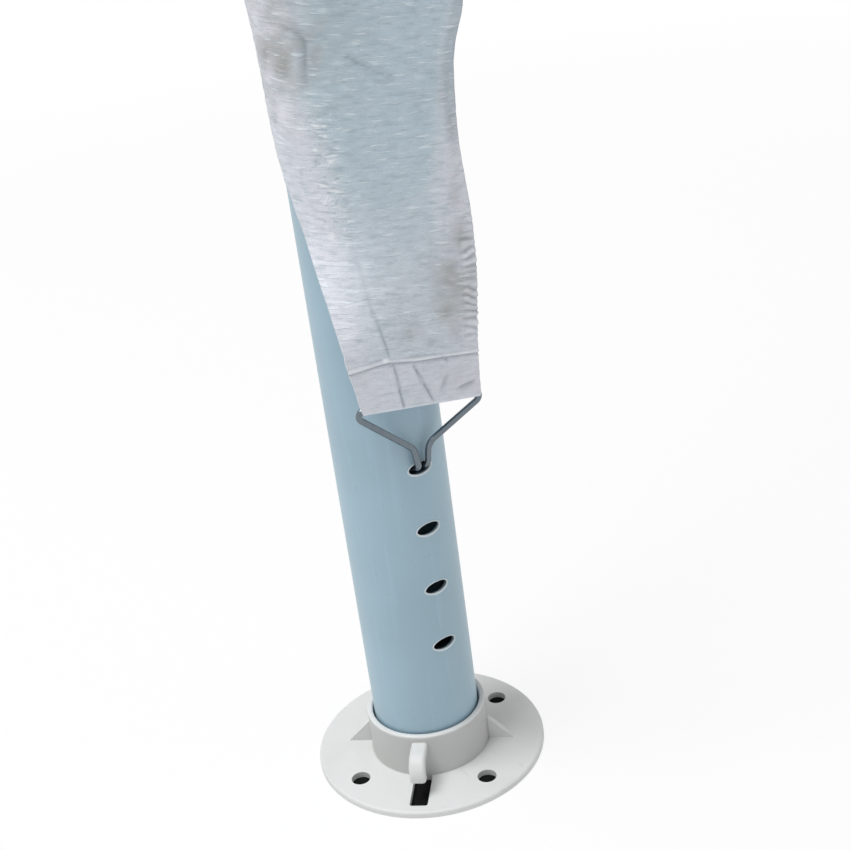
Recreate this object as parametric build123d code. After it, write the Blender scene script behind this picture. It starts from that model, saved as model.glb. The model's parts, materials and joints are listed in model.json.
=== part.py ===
# Compact folding rotary clothesline on a floor flange, millimetres, +Z up.
# The origin is the centre of the flange's underside. The mast's slots face -Y.
from build123d import *
import math
import os

os.makedirs("parts", exist_ok=True)

# Clearances, radial for round pieces
FIT = 0.05            # pieces pressed or screwed together
RUN = 0.08            # a pin in its eye, the foot bush on its spigot
SLIDE = 0.3           # tubes that slide in each other
SIDE = 0.4            # flat faces that pass beside each other
OPEN_PIVOT = 0.3      # strut strip beside its saddle on the arm
HEM_PLAY = 0.5        # bail wire in the hem

# Directions about the mast, degrees from +X
FRONT = -90.0
HOOK_TURN = -42.0     # flange hook, from the front
ARM_FIRST = 45.0
ARM_COUNT = 4

# Floor flange
FLANGE_R = 55.0
FLANGE_T = 3.0
FLANGE_EDGE = 1.3
COLLAR_GAP = 0.8
COLLAR_WALL = 2.7
COLLAR_TOP = 25.0
COLLAR_EDGE = 0.8
RIB_REACH = 12.0
RIB_RISE = 12.0
RIB_T = 3.0
SCREW_HOLE_R = 4.5
SCREW_CIRCLE_R = 42.5
SCREW_COUNT = 4
RIB_COUNT = 3
HOOK_W = 7.5
HOOK_T = 5.0
HOOK_REACH = 13.0
HOOK_DROP = 9.5
HOOK_BELOW_RIM = 5.5
HOOK_BEND_R = 6.0
HOOK_SLOT_W = 8.5
HOOK_SLOT_MARGIN = 5.0
HOOK_SLOT_CORNER = 1.2
HOOK_EDGE = 1.6
HOOK_TIP_R = 1.4

# Lower mast
MAST_OD = 50.0
MAST_WALL = 1.5
MAST_TOP = 640.0
SLOT_W = 11.8
SLOT_H = 5.8
SLOT_FIRST = 70.0
SLOT_PITCH = 30.0
SLOT_COUNT = 4

# Foot bearing inside the mast
WASHER_T = 1.5
BUSH_RIM_T = 2.5
BUSH_LENGTH = 46.0
SPIGOT_R = 19.0
SPIGOT_PROUD = 5.0
SPIGOT_CHAMFER = 2.0
SCREW_R = 3.0
SCREW_HEAD_R = 5.4
SCREW_HEAD_DEEP = 2.4
SCREW_SUNK = 0.2
SCREW_LENGTH = 40.0

# Upper mast
UPPER_OD = 42.0
UPPER_WALL = 1.5
UPPER_FOOT = 420.0
UPPER_TOP = 1405.0
GUIDE_LENGTH = 25.0
GUIDE_FLOOR = 3.0

# Joint sleeve and its clamp
SLEEVE_WALL = 6.0
SLEEVE_BELOW = 40.0
SLEEVE_ABOVE = 24.0
SLEEVE_EDGE = 2.0
SLEEVE_LEDGE = 0.3
LINER_RIM_T = 3.0
LINER_RIM_PROUD = 3.0
EAR_T = 10.0
EAR_SPLIT = 3.0
EAR_REACH = 18.0
EAR_HEIGHT = 40.0
EAR_EDGE = 3.0
BOLT_R = 4.0
BOLT_FROM_EAR_END = 9.0
NUT_R = 7.5
NUT_T = 6.0
NUT_SIDES = 6
BOLT_EYE_R = 5.0
BOLT_EYE_T = 6.0
BOLT_NECK_R = 2.5
LEVER_PIN_R = 2.5
CAM_R = 7.5
LEVER_TURN = 28.0
LEVER_LENGTH = 62.0
LEVER_T = 6.0
LEVER_HEIGHT = 18.0
LEVER_TIP_R = 7.0

# Cover hanger on the lower mast
HANGER_TOP = 591.0
HANGER_HEIGHT = 16.0
HANGER_WALL = 3.5
PEG_R = 4.0
PEG_REACH = 25.0
PEG_HEAD_R = 7.5
PEG_HEAD_T = 3.0
PEG_PLAY = 0.5

# Storage cover, folded and hung down the front of the mast
COVER_T = 2.2
COVER_FOLD = 1.2      # how far the outer face swells between its creases
COVER_HOLLOW = 0.3    # the same on the inner face
COVER_HALF = 27.5     # half the hem's width
COVER_OUT = 31.5      # hem's inner face, in front of the mast's axis
COVER_TOP_OUT = 38.0  # inner face at the hanger
COVER_ON_MAST = 1.5   # gap where the cloth lies on the mast
COVER_REACH = 37.0    # free right edge, to the side
COVER_STAND = 32.0    # free right edge, in front of the mast's axis
COVER_TOUCH = -11.0   # degrees from the front where the cloth meets the mast
COVER_OVER_HEM = 2.0
COVER_OVER_PEG = 16.0
HEM_AXIS_OUT = 32.0
HEM_AXIS_Z = 193.8
HEM_TILT = 11.5       # degrees, right side lower
HEM_ROLL_R = 3.0
HEM_ROLL_HALF = 25.5
# Each level: share of the height, share wrapped round the mast, left edge in degrees from the front,
# share of the hem's tilt
COVER_LEVELS = [
    (0.00, 0.00, -41.0, 1.0),
    (0.04, 0.08, -46.0, 0.9),
    (0.14, 0.70, -76.0, 0.5),
    (0.20, 0.90, -92.0, 0.2),
    (0.27, 1.00, -104.0, 0.0),
    (0.40, 1.00, -110.0, 0.0),
    (0.62, 1.00, -106.0, 0.0),
    (0.75, 0.75, -90.0, 0.0),
    (0.87, 0.40, -66.0, 0.0),
    (1.00, 0.00, -41.0, 0.0),
]
# Places of the two creases across the hem, as shares of its half width
COVER_CREASES = (0.10, -0.45)

# Tension bail, a bent wire
WIRE_R = 1.4
BAIL_HALF = 36.0      # where the straight legs would meet the crossbar
BAIL_WAIST_Z = 171.5
BAIL_WAIST_HALF = 3.7
BAIL_STUB_HALF = 2.2
BAIL_STUB_RISE = 0.9  # stubs over the slot's middle
BAIL_FRONT_OUT = 28.0
BAIL_STUB_IN = 6.0
BAIL_CORNER_R = 2.6
BAIL_WAIST_R = 7.0
BAIL_STUB_R = 3.6

# Folding frame, open
ARM_OD = 18.0
ARM_WALL = 1.5
ARM_LENGTH = 700.0    # pivot to the end of the tip cap
ARM_RISE = 25.0       # degrees above level
ARM_TUBE_START = 24.0
ARM_PLUG = 30.0
ARM_TIP_T = 8.0
ARM_PIVOT_Z = 1060.0
CROWN_PIVOT_BELOW = 10.0  # strut pivots, below the upper mast's top
PIN_R = 3.0
PIN_HEAD_R = 5.0
PIN_HEAD_T = 2.0
STRIP_T = 2.5
STRIP_W = 14.0
STRUT_AT = 320.0      # along the arm from its pivot
RIVET_R = 5.0
RIVET_T = 1.6
RIVET_EDGE = 1.0
SADDLE_LENGTH = 24.0
SADDLE_WALL = 1.6
SADDLE_BOSS_R = 7.0
SADDLE_BOSS_PROUD = 2.0

# Crown
CROWN_WALL = 9.0
CROWN_BELOW = 27.0
CROWN_ROOF = 13.0
CROWN_LUG_REACH = 20.0
CROWN_EDGE = 2.5
LUG_R = 8.0
CAP_RISE = 12.0
CAP_EDGE = 8.0
CAP_PLUG_R = 12.0
CAP_PLUG_DEEP = 7.0

# Runner
RUNNER_LINER = 2.0
RUNNER_WALL = 5.6
RUNNER_BELOW = 30.0
RUNNER_ABOVE = 24.0
RUNNER_LUG_REACH = 33.0
RUNNER_LUG_R = 9.0
RUNNER_EDGE = 2.0
CHEEK_T = 4.0
ROOT_EYE_R = 8.5
KNOB_DROP = 6.0
KNOB_BOSS_R = 9.0
KNOB_BOSS_OUT = 8.0
KNOB_SCREW_R = 4.0
KNOB_TIP_CLEAR = 0.8
KNOB_R = 12.0
KNOB_T = 14.0
KNOB_FLUTES = 6
KNOB_FLUTE_R = 4.0

# Line and its pegs
LINE_R = 1.5
LINE_FROM_TIP = 22.0  # outermost loop, from the arm's end
LINE_STEP = 107.0
LINE_COUNT = 5
LINE_PLAY = 0.3
CLIP_BASE_R = 5.5
CLIP_BASE_TOP = 13.0
CLIP_POST_R = 2.5
CLIP_POST_H = 6.0
CLIP_HEAD_R = 4.6
CLIP_HEAD_T = 2.0

# Sizes that follow
MAST_R = MAST_OD / 2
MAST_IN = MAST_R - MAST_WALL
COLLAR_IN = MAST_R + COLLAR_GAP
COLLAR_R = COLLAR_IN + COLLAR_WALL
RIM_Z = FLANGE_T + WASHER_T
MAST_FOOT = RIM_Z + BUSH_RIM_T
SPIGOT_TOP = MAST_FOOT + BUSH_LENGTH + SPIGOT_PROUD
UPPER_R = UPPER_OD / 2
UPPER_IN = UPPER_R - UPPER_WALL
SLEEVE_R = MAST_R + SLEEVE_WALL
SLEEVE_FOOT = MAST_TOP - SLEEVE_BELOW
SLEEVE_TOP = MAST_TOP + SLEEVE_ABOVE
LINER_IN = UPPER_R + SLIDE
LINER_R = MAST_IN - SLEEVE_LEDGE
EAR_OUT = EAR_SPLIT / 2 + EAR_T
BOLT_Y = SLEEVE_R + EAR_REACH - BOLT_FROM_EAR_END
BOLT_Z = (SLEEVE_FOOT + SLEEVE_TOP) / 2
CAM_X = EAR_OUT + CAM_R + SIDE
HANGER_R = MAST_R + HANGER_WALL
PEG_Z = HANGER_TOP - HANGER_HEIGHT / 2
STUB_Z = SLOT_FIRST + SLOT_PITCH * (SLOT_COUNT - 1) + BAIL_STUB_RISE
CROWN_R = UPPER_R + CROWN_WALL
CROWN_FOOT = UPPER_TOP - CROWN_BELOW
CROWN_TOP = UPPER_TOP + CROWN_ROOF
CROWN_PIVOT_R = CROWN_R + CROWN_LUG_REACH
CROWN_PIVOT_Z = UPPER_TOP - CROWN_PIVOT_BELOW
RUNNER_IN = UPPER_R + SLIDE + RUNNER_LINER
RUNNER_R = RUNNER_IN + RUNNER_WALL
RUNNER_FOOT = ARM_PIVOT_Z - RUNNER_BELOW
RUNNER_TOP = ARM_PIVOT_Z + RUNNER_ABOVE
ARM_PIVOT_R = RUNNER_R + RUNNER_LUG_REACH
KNOB_Z = ARM_PIVOT_Z - KNOB_DROP
ARM_R = ARM_OD / 2
ARM_IN = ARM_R - ARM_WALL
ARM_END = ARM_LENGTH - ARM_TIP_T
SADDLE_HALF = ARM_R + SADDLE_BOSS_PROUD
STRIP_NEAR = SADDLE_HALF + OPEN_PIVOT
STRIP_FAR = STRIP_NEAR + STRIP_T
CHEEK_NEAR = ARM_R + SIDE
CHEEK_FAR = CHEEK_NEAR + CHEEK_T
LINE_BEND_R = CLIP_POST_R + LINE_PLAY + LINE_R
UP = (Align.CENTER, Align.CENTER, Align.MIN)


def disc(radius, low, high):
    """Upright cylinder on the mast's axis."""
    return Pos(0, 0, low) * Cylinder(radius, high - low, align=UP)


def ring(outer, inner, low, high):
    """Upright tube on the mast's axis."""
    return disc(outer, low, high) - disc(inner, low, high)


def bar_x(radius, start, end, y, z):
    """Cylinder along X."""
    return Pos(start, y, z) * Rot(0, 90, 0) * Cylinder(radius, end - start, align=UP)


def bar_y(radius, half, x, z):
    """Cylinder along Y, centred on y = 0."""
    return Pos(x, 0, z) * Rot(90, 0, 0) * Cylinder(radius, 2 * half)


def block(x_low, x_high, y_low, y_high, z_low, z_high):
    """Box between two corners."""
    size = Box(x_high - x_low, y_high - y_low, z_high - z_low)
    return Pos((x_low + x_high) / 2, (y_low + y_high) / 2, (z_low + z_high) / 2) * size


def turned(shape, degrees):
    """A piece modelled along +X, turned about the mast."""
    return Rot(0, 0, degrees) * shape


def arms():
    """Number and direction of each arm."""
    return [(i + 1, ARM_FIRST + 360 / ARM_COUNT * i) for i in range(ARM_COUNT)]


def rim_edges(shape, z):
    """Round edges at one height."""
    return shape.edges().filter_by(GeomType.CIRCLE).filter_by_position(Axis.Z, z, z)


def save(node, shape):
    """Write one node."""
    export_step(shape, "parts/" + node + ".step")


# Floor flange and foot bearing

def flange_hook():
    """Finger moulded on the collar, reaching out and down over the plate's slot."""
    root = COLLAR_R - COLLAR_WALL / 2
    out = COLLAR_R + HOOK_REACH
    high = COLLAR_TOP - HOOK_BELOW_RIM
    route = Plane.XZ * FilletPolyline((root, high), (out, high), (out, high - HOOK_DROP), radius=HOOK_BEND_R)
    start = Plane(origin=(root, 0, high), x_dir=(0, 1, 0), z_dir=(1, 0, 0))
    finger = sweep(start * RectangleRounded(HOOK_W, HOOK_T, HOOK_EDGE), path=route)
    tip = finger.faces().sort_by(Axis.Z)[0]
    return fillet(tip.edges(), HOOK_TIP_R)


def flange_rib():
    """Triangular gusset between collar and plate."""
    root = COLLAR_R - COLLAR_WALL / 2
    low = FLANGE_T / 2
    outline = Polyline(
        (root, low),
        (COLLAR_R + RIB_REACH, low),
        (COLLAR_R + RIB_REACH, FLANGE_T),
        (COLLAR_R, FLANGE_T + RIB_RISE),
        (root, FLANGE_T + RIB_RISE),
        close=True,
    )
    return extrude(Plane.XZ * make_face(outline), RIB_T / 2, both=True)


def spigot_screw(extra):
    """Countersunk screw, or with extra its hole."""
    cone_top = SCREW_SUNK + SCREW_HEAD_DEEP
    cone = Cone(SCREW_HEAD_R + extra, SCREW_R + extra, SCREW_HEAD_DEEP, align=UP)
    shank = disc(SCREW_R + extra, cone_top, SCREW_SUNK + SCREW_LENGTH + extra)
    return Pos(0, 0, SCREW_SUNK) * cone + shank


def floor_flange():
    """Plate, collar, gussets and hook in one moulding."""
    plate = disc(FLANGE_R, 0, FLANGE_T)
    plate = fillet(rim_edges(plate, FLANGE_T), FLANGE_EDGE)
    collar = ring(COLLAR_R, COLLAR_IN, FLANGE_T / 2, COLLAR_TOP)
    collar = fillet(rim_edges(collar, COLLAR_TOP), COLLAR_EDGE)
    hook_at = FRONT + HOOK_TURN
    body = plate + collar + turned(flange_hook(), hook_at)
    step = 360 / (RIB_COUNT + 1)
    for rib in range(RIB_COUNT):
        body += turned(flange_rib(), hook_at + step * (rib + 1))
    slot_start = COLLAR_R
    slot_end = FLANGE_R - HOOK_SLOT_MARGIN
    slot = RectangleRounded(slot_end - slot_start, HOOK_SLOT_W, HOOK_SLOT_CORNER)
    slot = Pos((slot_start + slot_end) / 2, 0, 0) * extrude(slot, FLANGE_T)
    body -= turned(slot, hook_at)
    between = 360 / SCREW_COUNT
    for screw in range(SCREW_COUNT):
        hole = Pos(SCREW_CIRCLE_R, 0, 0) * disc(SCREW_HOLE_R, 0, FLANGE_T)
        body -= turned(hole, hook_at + between * (screw + 0.5))
    body -= spigot_screw(FIT)
    body -= disc(SCREW_HEAD_R + FIT, 0, SCREW_SUNK)
    return body


def foot_spigot():
    """Post that the mast turns on."""
    post = disc(SPIGOT_R, FLANGE_T, SPIGOT_TOP)
    post = chamfer(rim_edges(post, SPIGOT_TOP), SPIGOT_CHAMFER)
    return post - spigot_screw(FIT)


def foot_bush():
    """Bush in the mast's lower end, with the rim that it stands on."""
    rim = disc(MAST_R, RIM_Z, MAST_FOOT)
    sleeve = disc(MAST_IN - FIT, MAST_FOOT, MAST_FOOT + BUSH_LENGTH)
    return rim + sleeve - disc(SPIGOT_R + RUN, RIM_Z, MAST_FOOT + BUSH_LENGTH)


# Mast

def mast_lower():
    """Tube with a row of oval slots down its front."""
    tube = ring(MAST_R, MAST_IN, MAST_FOOT, MAST_TOP)
    for row in range(SLOT_COUNT):
        z = SLOT_FIRST + SLOT_PITCH * row
        face = Plane(origin=(0, -MAST_R, z), x_dir=(1, 0, 0), z_dir=(0, -1, 0))
        tube -= extrude(face * Ellipse(SLOT_W / 2, SLOT_H / 2), SLOT_W / 2, both=True)
    return tube


def joint_sleeve():
    """Split clamp on top of the lower mast, with two ears at the back."""
    body = disc(SLEEVE_R, SLEEVE_FOOT, SLEEVE_TOP)
    ends = rim_edges(body, SLEEVE_FOOT) + rim_edges(body, SLEEVE_TOP)
    body = fillet(ends, SLEEVE_EDGE)
    ear_end = SLEEVE_R + EAR_REACH
    half = EAR_HEIGHT / 2
    ears = block(-EAR_OUT, EAR_OUT, 0, ear_end, BOLT_Z - half, BOLT_Z + half)
    corner = ears.edges().filter_by(Axis.X).filter_by_position(Axis.Y, ear_end, ear_end)
    body += fillet(corner, EAR_EDGE)
    body -= block(-EAR_SPLIT / 2, EAR_SPLIT / 2, 0, ear_end, SLEEVE_FOOT, SLEEVE_TOP)
    body -= disc(MAST_R + FIT, SLEEVE_FOOT, MAST_TOP)
    body -= disc(LINER_R + FIT, MAST_TOP, SLEEVE_TOP)
    return body - bar_x(BOLT_R + FIT, -EAR_OUT, EAR_OUT, BOLT_Y, BOLT_Z)


def sleeve_bush():
    """Liner that guides the upper mast, with a rim on the sleeve's top."""
    liner = disc(LINER_R, SLEEVE_FOOT, SLEEVE_TOP)
    rim = disc(LINER_R + LINER_RIM_PROUD, SLEEVE_TOP, SLEEVE_TOP + LINER_RIM_T)
    return liner + rim - disc(LINER_IN, SLEEVE_FOOT, SLEEVE_TOP + LINER_RIM_T)


def clamp_bolt():
    """Bolt through the ears, with an eye for the lever's pin."""
    nut_end = -EAR_OUT - NUT_T
    shank = bar_x(BOLT_R, nut_end, EAR_OUT, BOLT_Y, BOLT_Z)
    half = BOLT_EYE_T / 2
    neck = bar_x(BOLT_NECK_R, EAR_OUT, CAM_X, BOLT_Y, BOLT_Z)
    eye = Pos(CAM_X, BOLT_Y, 0) * disc(BOLT_EYE_R, BOLT_Z - half, BOLT_Z + half)
    hole = Pos(CAM_X, BOLT_Y, 0) * disc(LEVER_PIN_R + FIT, BOLT_Z - half, BOLT_Z + half)
    return shank + neck + eye - hole


def clamp_nut():
    """Hexagon nut at the bolt's far end."""
    face = Plane(origin=(-EAR_OUT, BOLT_Y, BOLT_Z), z_dir=(-1, 0, 0))
    nut = extrude(face * RegularPolygon(NUT_R, NUT_SIDES), NUT_T)
    return nut - bar_x(BOLT_R + FIT, -EAR_OUT - NUT_T, -EAR_OUT, BOLT_Y, BOLT_Z)


def lever_pin():
    """Pin that the clamp lever turns on."""
    half = LEVER_HEIGHT / 2
    return Pos(CAM_X, BOLT_Y, 0) * disc(LEVER_PIN_R, BOLT_Z - half, BOLT_Z + half)


def clamp_lever():
    """Cam and handle, lying beside the sleeve when closed."""
    half = LEVER_HEIGHT / 2
    cam = disc(CAM_R, -half, half)
    handle = block(0, LEVER_LENGTH, -LEVER_T / 2, LEVER_T / 2, -half, half)
    tip = handle.edges().filter_by(Axis.Y).filter_by_position(Axis.X, LEVER_LENGTH, LEVER_LENGTH)
    handle = fillet(tip, LEVER_TIP_R)
    gap = BOLT_EYE_T / 2 + SIDE
    lever = cam + handle - disc(LEVER_PIN_R + RUN, -half, half)
    lever -= block(-CAM_R, CAM_R + SIDE, -CAM_R, CAM_R, -gap, gap)
    return Pos(CAM_X, BOLT_Y, BOLT_Z) * turned(lever, FRONT + LEVER_TURN)


def cover_hanger():
    """Band on the mast with a headed peg for the cover's eyelet."""
    low = HANGER_TOP - HANGER_HEIGHT
    band = disc(HANGER_R, low, HANGER_TOP)
    start = MAST_R + HANGER_WALL / 2
    end = MAST_R + PEG_REACH
    peg = bar_x(PEG_R, start, end, 0, PEG_Z) + bar_x(PEG_HEAD_R, end, end + PEG_HEAD_T, 0, PEG_Z)
    return band + turned(peg, FRONT) - disc(MAST_R + FIT, low, HANGER_TOP)


# Storage cover and its bail

def from_front(azimuth, radius, z):
    """Point about the mast, azimuth counted from the front."""
    angle = math.radians(FRONT + azimuth)
    return Vector(radius * math.cos(angle), radius * math.sin(angle), z)


def mixed(flat, wrapped, share):
    """Point between the flat form and the wrapped form."""
    return flat * (1 - share) + wrapped * share


def cover_points(share_up, wrap, left):
    """Inner face at one level: its edges and creases, and the middles between them."""
    out = COVER_OUT + (COVER_TOP_OUT - COVER_OUT) * share_up
    flat = [Vector(COVER_HALF * k, -out, 0) for k in (1.0, *COVER_CREASES, -1.0)]
    on_mast = MAST_R + COVER_ON_MAST
    azimuths = [COVER_TOUCH, (COVER_TOUCH + left) / 2, left]
    wrapped = [Vector(COVER_REACH, -COVER_STAND, 0)] + [from_front(a, on_mast, 0) for a in azimuths]
    wrapped_mid = [(wrapped[0] + wrapped[1]) / 2]
    wrapped_mid += [from_front((azimuths[k] + azimuths[k + 1]) / 2, on_mast, 0) for k in (0, 1)]
    flat_mid = [(flat[k] + flat[k + 1]) / 2 for k in range(3)]
    ends = [mixed(f, w, wrap) for f, w in zip(flat, wrapped)]
    middles = [mixed(f, w, wrap) for f, w in zip(flat_mid, wrapped_mid)]
    return ends, middles


def cover_level(level):
    """Outline of the folded cloth at one height: three swells in front, three behind, two edges."""
    share_up, wrap, left, tilt = level
    low = HEM_AXIS_Z + COVER_OVER_HEM
    high = PEG_Z + COVER_OVER_PEG
    z = low + (high - low) * share_up
    fall = math.tan(math.radians(HEM_TILT * tilt))
    ends, middles = cover_points(share_up, wrap, left)

    def placed(point, outward):
        moved = point + point.normalized() * outward
        return Vector(moved.X, moved.Y, z - moved.X * fall)

    runs = []
    for outward, swell in ((0.0, COVER_HOLLOW), (COVER_T, COVER_FOLD)):
        for k in range(len(middles)):
            start = placed(ends[k], outward)
            middle = placed(middles[k], outward + swell)
            runs.append(ThreePointArc(start, middle, placed(ends[k + 1], outward)))
    for end in (ends[0], ends[-1]):
        runs.append(Line(placed(end, 0.0), placed(end, COVER_T)))
    return make_face(Wire(runs))


def storage_cover():
    """Folded cloth from the hanger to the hem, where the bail's crossbar lies."""
    cloth = loft([cover_level(level) for level in COVER_LEVELS])
    hem = Pos(0, -HEM_AXIS_OUT, HEM_AXIS_Z) * Rot(0, HEM_TILT, 0)
    cloth += hem * bar_x(HEM_ROLL_R, -HEM_ROLL_HALF, HEM_ROLL_HALF, 0, 0)
    cloth -= hem * bar_x(WIRE_R + HEM_PLAY, -BAIL_HALF, BAIL_HALF, 0, 0)
    eyelet = bar_x(PEG_R + PEG_PLAY, MAST_R, MAST_R + PEG_REACH + PEG_HEAD_T, 0, PEG_Z)
    return cloth - turned(eyelet, FRONT)


def tension_bail():
    """Wire through the hem, down both sides and into the mast's top slot."""
    stub_end = -MAST_R + BAIL_STUB_IN
    tilt = math.radians(HEM_TILT)
    sides = []
    for side in (1, -1):
        corner = BAIL_HALF * side
        sides.append([
            (BAIL_STUB_HALF * side, stub_end, STUB_Z),
            (BAIL_STUB_HALF * side, -BAIL_FRONT_OUT, STUB_Z),
            (BAIL_WAIST_HALF * side, -BAIL_FRONT_OUT, BAIL_WAIST_Z),
            (corner * math.cos(tilt), -HEM_AXIS_OUT, HEM_AXIS_Z - corner * math.sin(tilt)),
        ])
    points = sides[0] + sides[1][::-1]
    bends = [BAIL_STUB_R, BAIL_WAIST_R, BAIL_CORNER_R]
    route = FilletPolyline(*points, radius=bends + bends[::-1])
    start = Plane(origin=route @ 0, z_dir=route % 0)
    print("bail wire", round(route.length, 1), "long, bends", bends)
    return sweep(start * Circle(WIRE_R), path=route)


# Upper mast and crown

def guide_bush():
    """Bush on the upper mast's lower end, running in the lower mast."""
    low = UPPER_FOOT - GUIDE_FLOOR
    body = disc(MAST_IN - SLIDE, low, UPPER_FOOT + GUIDE_LENGTH)
    body -= disc(UPPER_R + FIT, UPPER_FOOT, UPPER_FOOT + GUIDE_LENGTH)
    return body - disc(UPPER_IN, low, UPPER_FOOT)


def pivot_pin(half, x, z):
    """Headed pin across an arm's or a strut's pivot."""
    pin = bar_y(PIN_R, half + PIN_HEAD_T, x, z)
    for side in (-1, 1):
        pin += Pos(0, side * (half + PIN_HEAD_T / 2), 0) * bar_y(PIN_HEAD_R, PIN_HEAD_T / 2, x, z)
    return pin


def crown():
    """Hub on the upper mast's top, with a lug for each strut."""
    body = disc(CROWN_R, CROWN_FOOT, CROWN_TOP)
    body = fillet(rim_edges(body, CROWN_FOOT), CROWN_EDGE)
    for number, azimuth in arms():
        low, high = CROWN_PIVOT_Z - LUG_R, CROWN_PIVOT_Z + LUG_R
        web = block(UPPER_R, CROWN_PIVOT_R, -SADDLE_HALF, SADDLE_HALF, low, high)
        lug = web + bar_y(LUG_R, SADDLE_HALF, CROWN_PIVOT_R, CROWN_PIVOT_Z)
        body += turned(lug - bar_y(PIN_R + FIT, SADDLE_HALF, CROWN_PIVOT_R, CROWN_PIVOT_Z), azimuth)
    body -= disc(UPPER_R + FIT, CROWN_FOOT, UPPER_TOP)
    return body - disc(CAP_PLUG_R + FIT, UPPER_TOP, CROWN_TOP)


def crown_cap():
    """Domed cap that plugs the crown."""
    dome = disc(CROWN_R, CROWN_TOP, CROWN_TOP + CAP_RISE)
    dome = fillet(rim_edges(dome, CROWN_TOP + CAP_RISE), CAP_EDGE)
    return dome + disc(CAP_PLUG_R, CROWN_TOP - CAP_PLUG_DEEP, CROWN_TOP)


def strut_pins():
    """One pin through each crown lug."""
    pin = pivot_pin(STRIP_FAR + SIDE, CROWN_PIVOT_R, CROWN_PIVOT_Z)
    return Compound(children=[turned(pin, azimuth) for number, azimuth in arms()])


# Runner

def knob_bore(extra):
    """Screw hole for the runner's knob."""
    hole = bar_x(KNOB_SCREW_R + extra, UPPER_R, RUNNER_R + KNOB_BOSS_OUT, 0, KNOB_Z)
    return turned(hole, FRONT)


def runner():
    """Sliding hub with a pair of cheeks for each arm."""
    body = disc(RUNNER_R, RUNNER_FOOT, RUNNER_TOP)
    ends = rim_edges(body, RUNNER_FOOT) + rim_edges(body, RUNNER_TOP)
    body = fillet(ends, RUNNER_EDGE)
    low = ARM_PIVOT_Z - RUNNER_LUG_R
    high = ARM_PIVOT_Z + RUNNER_LUG_R
    middle = (CHEEK_NEAR + CHEEK_FAR) / 2
    for number, azimuth in arms():
        for side in (-1, 1):
            near = side * middle - CHEEK_T / 2
            cheek = block(RUNNER_IN, ARM_PIVOT_R, near, near + CHEEK_T, low, high)
            cheek += Pos(0, side * middle, 0) * bar_y(RUNNER_LUG_R, CHEEK_T / 2, ARM_PIVOT_R, ARM_PIVOT_Z)
            body += turned(cheek, azimuth)
        body -= turned(bar_y(PIN_R + FIT, CHEEK_FAR, ARM_PIVOT_R, ARM_PIVOT_Z), azimuth)
    body += turned(bar_x(KNOB_BOSS_R, RUNNER_IN, RUNNER_R + KNOB_BOSS_OUT, 0, KNOB_Z), FRONT)
    return body - disc(RUNNER_IN + FIT, RUNNER_FOOT, RUNNER_TOP) - knob_bore(RUN)


def runner_bush():
    """Liner of the runner."""
    return ring(RUNNER_IN, UPPER_R + SLIDE, RUNNER_FOOT, RUNNER_TOP) - knob_bore(RUN)


def arm_pins():
    """One pin through each pair of cheeks."""
    pin = pivot_pin(CHEEK_FAR + FIT, ARM_PIVOT_R, ARM_PIVOT_Z)
    return Compound(children=[turned(pin, azimuth) for number, azimuth in arms()])


def runner_knob():
    """Thumb screw that clamps the runner."""
    face = RUNNER_R + KNOB_BOSS_OUT + SIDE
    head = Plane.YZ.offset(face) * Circle(KNOB_R)
    for flute in range(KNOB_FLUTES):
        angle = math.radians(360 / KNOB_FLUTES * flute)
        out = KNOB_R + KNOB_FLUTE_R / 2
        place = Pos(out * math.cos(angle), out * math.sin(angle))
        head -= Plane.YZ.offset(face) * place * Circle(KNOB_FLUTE_R)
    knob = Pos(0, 0, KNOB_Z) * extrude(head, KNOB_T)
    knob += bar_x(KNOB_SCREW_R, UPPER_R + KNOB_TIP_CLEAR, face + KNOB_T / 2, 0, KNOB_Z)
    return turned(knob, FRONT)


# Arms, struts and line

def raised(shape, azimuth):
    """A piece modelled along +X from the arm's pivot, set at the arm's rise and turned to its place."""
    pivot = Pos(ARM_PIVOT_R, 0, ARM_PIVOT_Z)
    return turned(pivot * Rot(0, -ARM_RISE, 0) * shape, azimuth)


def arm_tube():
    """Straight tube of the arm."""
    solid = bar_x(ARM_R, ARM_TUBE_START, ARM_END, 0, 0)
    return solid - bar_x(ARM_IN, ARM_TUBE_START, ARM_END, 0, 0)


def arm_root():
    """Eye on the runner's pin, with a plug in the tube."""
    eye = bar_y(ROOT_EYE_R, ARM_R, 0, 0) + bar_x(ARM_R, 0, ARM_TUBE_START, 0, 0)
    plug = bar_x(ARM_IN - FIT, ARM_TUBE_START, ARM_TUBE_START + ARM_PLUG, 0, 0)
    return eye + plug - bar_y(PIN_R + RUN, ARM_R, 0, 0)


def arm_tip():
    """Rounded end cap with its plug."""
    cap = bar_x(ARM_R, ARM_END, ARM_LENGTH, 0, 0)
    cap = fillet(cap.edges().filter_by(GeomType.CIRCLE).sort_by(Axis.X)[-1], ARM_TIP_T / 2)
    return cap + bar_x(ARM_IN - FIT, ARM_END - ARM_PLUG, ARM_END, 0, 0)


def strut_saddle():
    """Collar on the arm with a boss beside each strip of the strut."""
    half = SADDLE_LENGTH / 2
    body = bar_x(ARM_R + SADDLE_WALL, STRUT_AT - half, STRUT_AT + half, 0, 0)
    body += bar_y(SADDLE_BOSS_R, SADDLE_HALF, STRUT_AT, 0)
    return body - bar_x(ARM_R + FIT, STRUT_AT - half, STRUT_AT + half, 0, 0)


def on_arm(distance):
    """Radius and height of a point on the open arm's axis."""
    rise = math.radians(ARM_RISE)
    return ARM_PIVOT_R + distance * math.cos(rise), ARM_PIVOT_Z + distance * math.sin(rise)


def line_places():
    """Distance of each loop of line along the arm."""
    last = ARM_LENGTH - LINE_FROM_TIP
    return [last - LINE_STEP * k for k in range(LINE_COUNT)]


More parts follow.
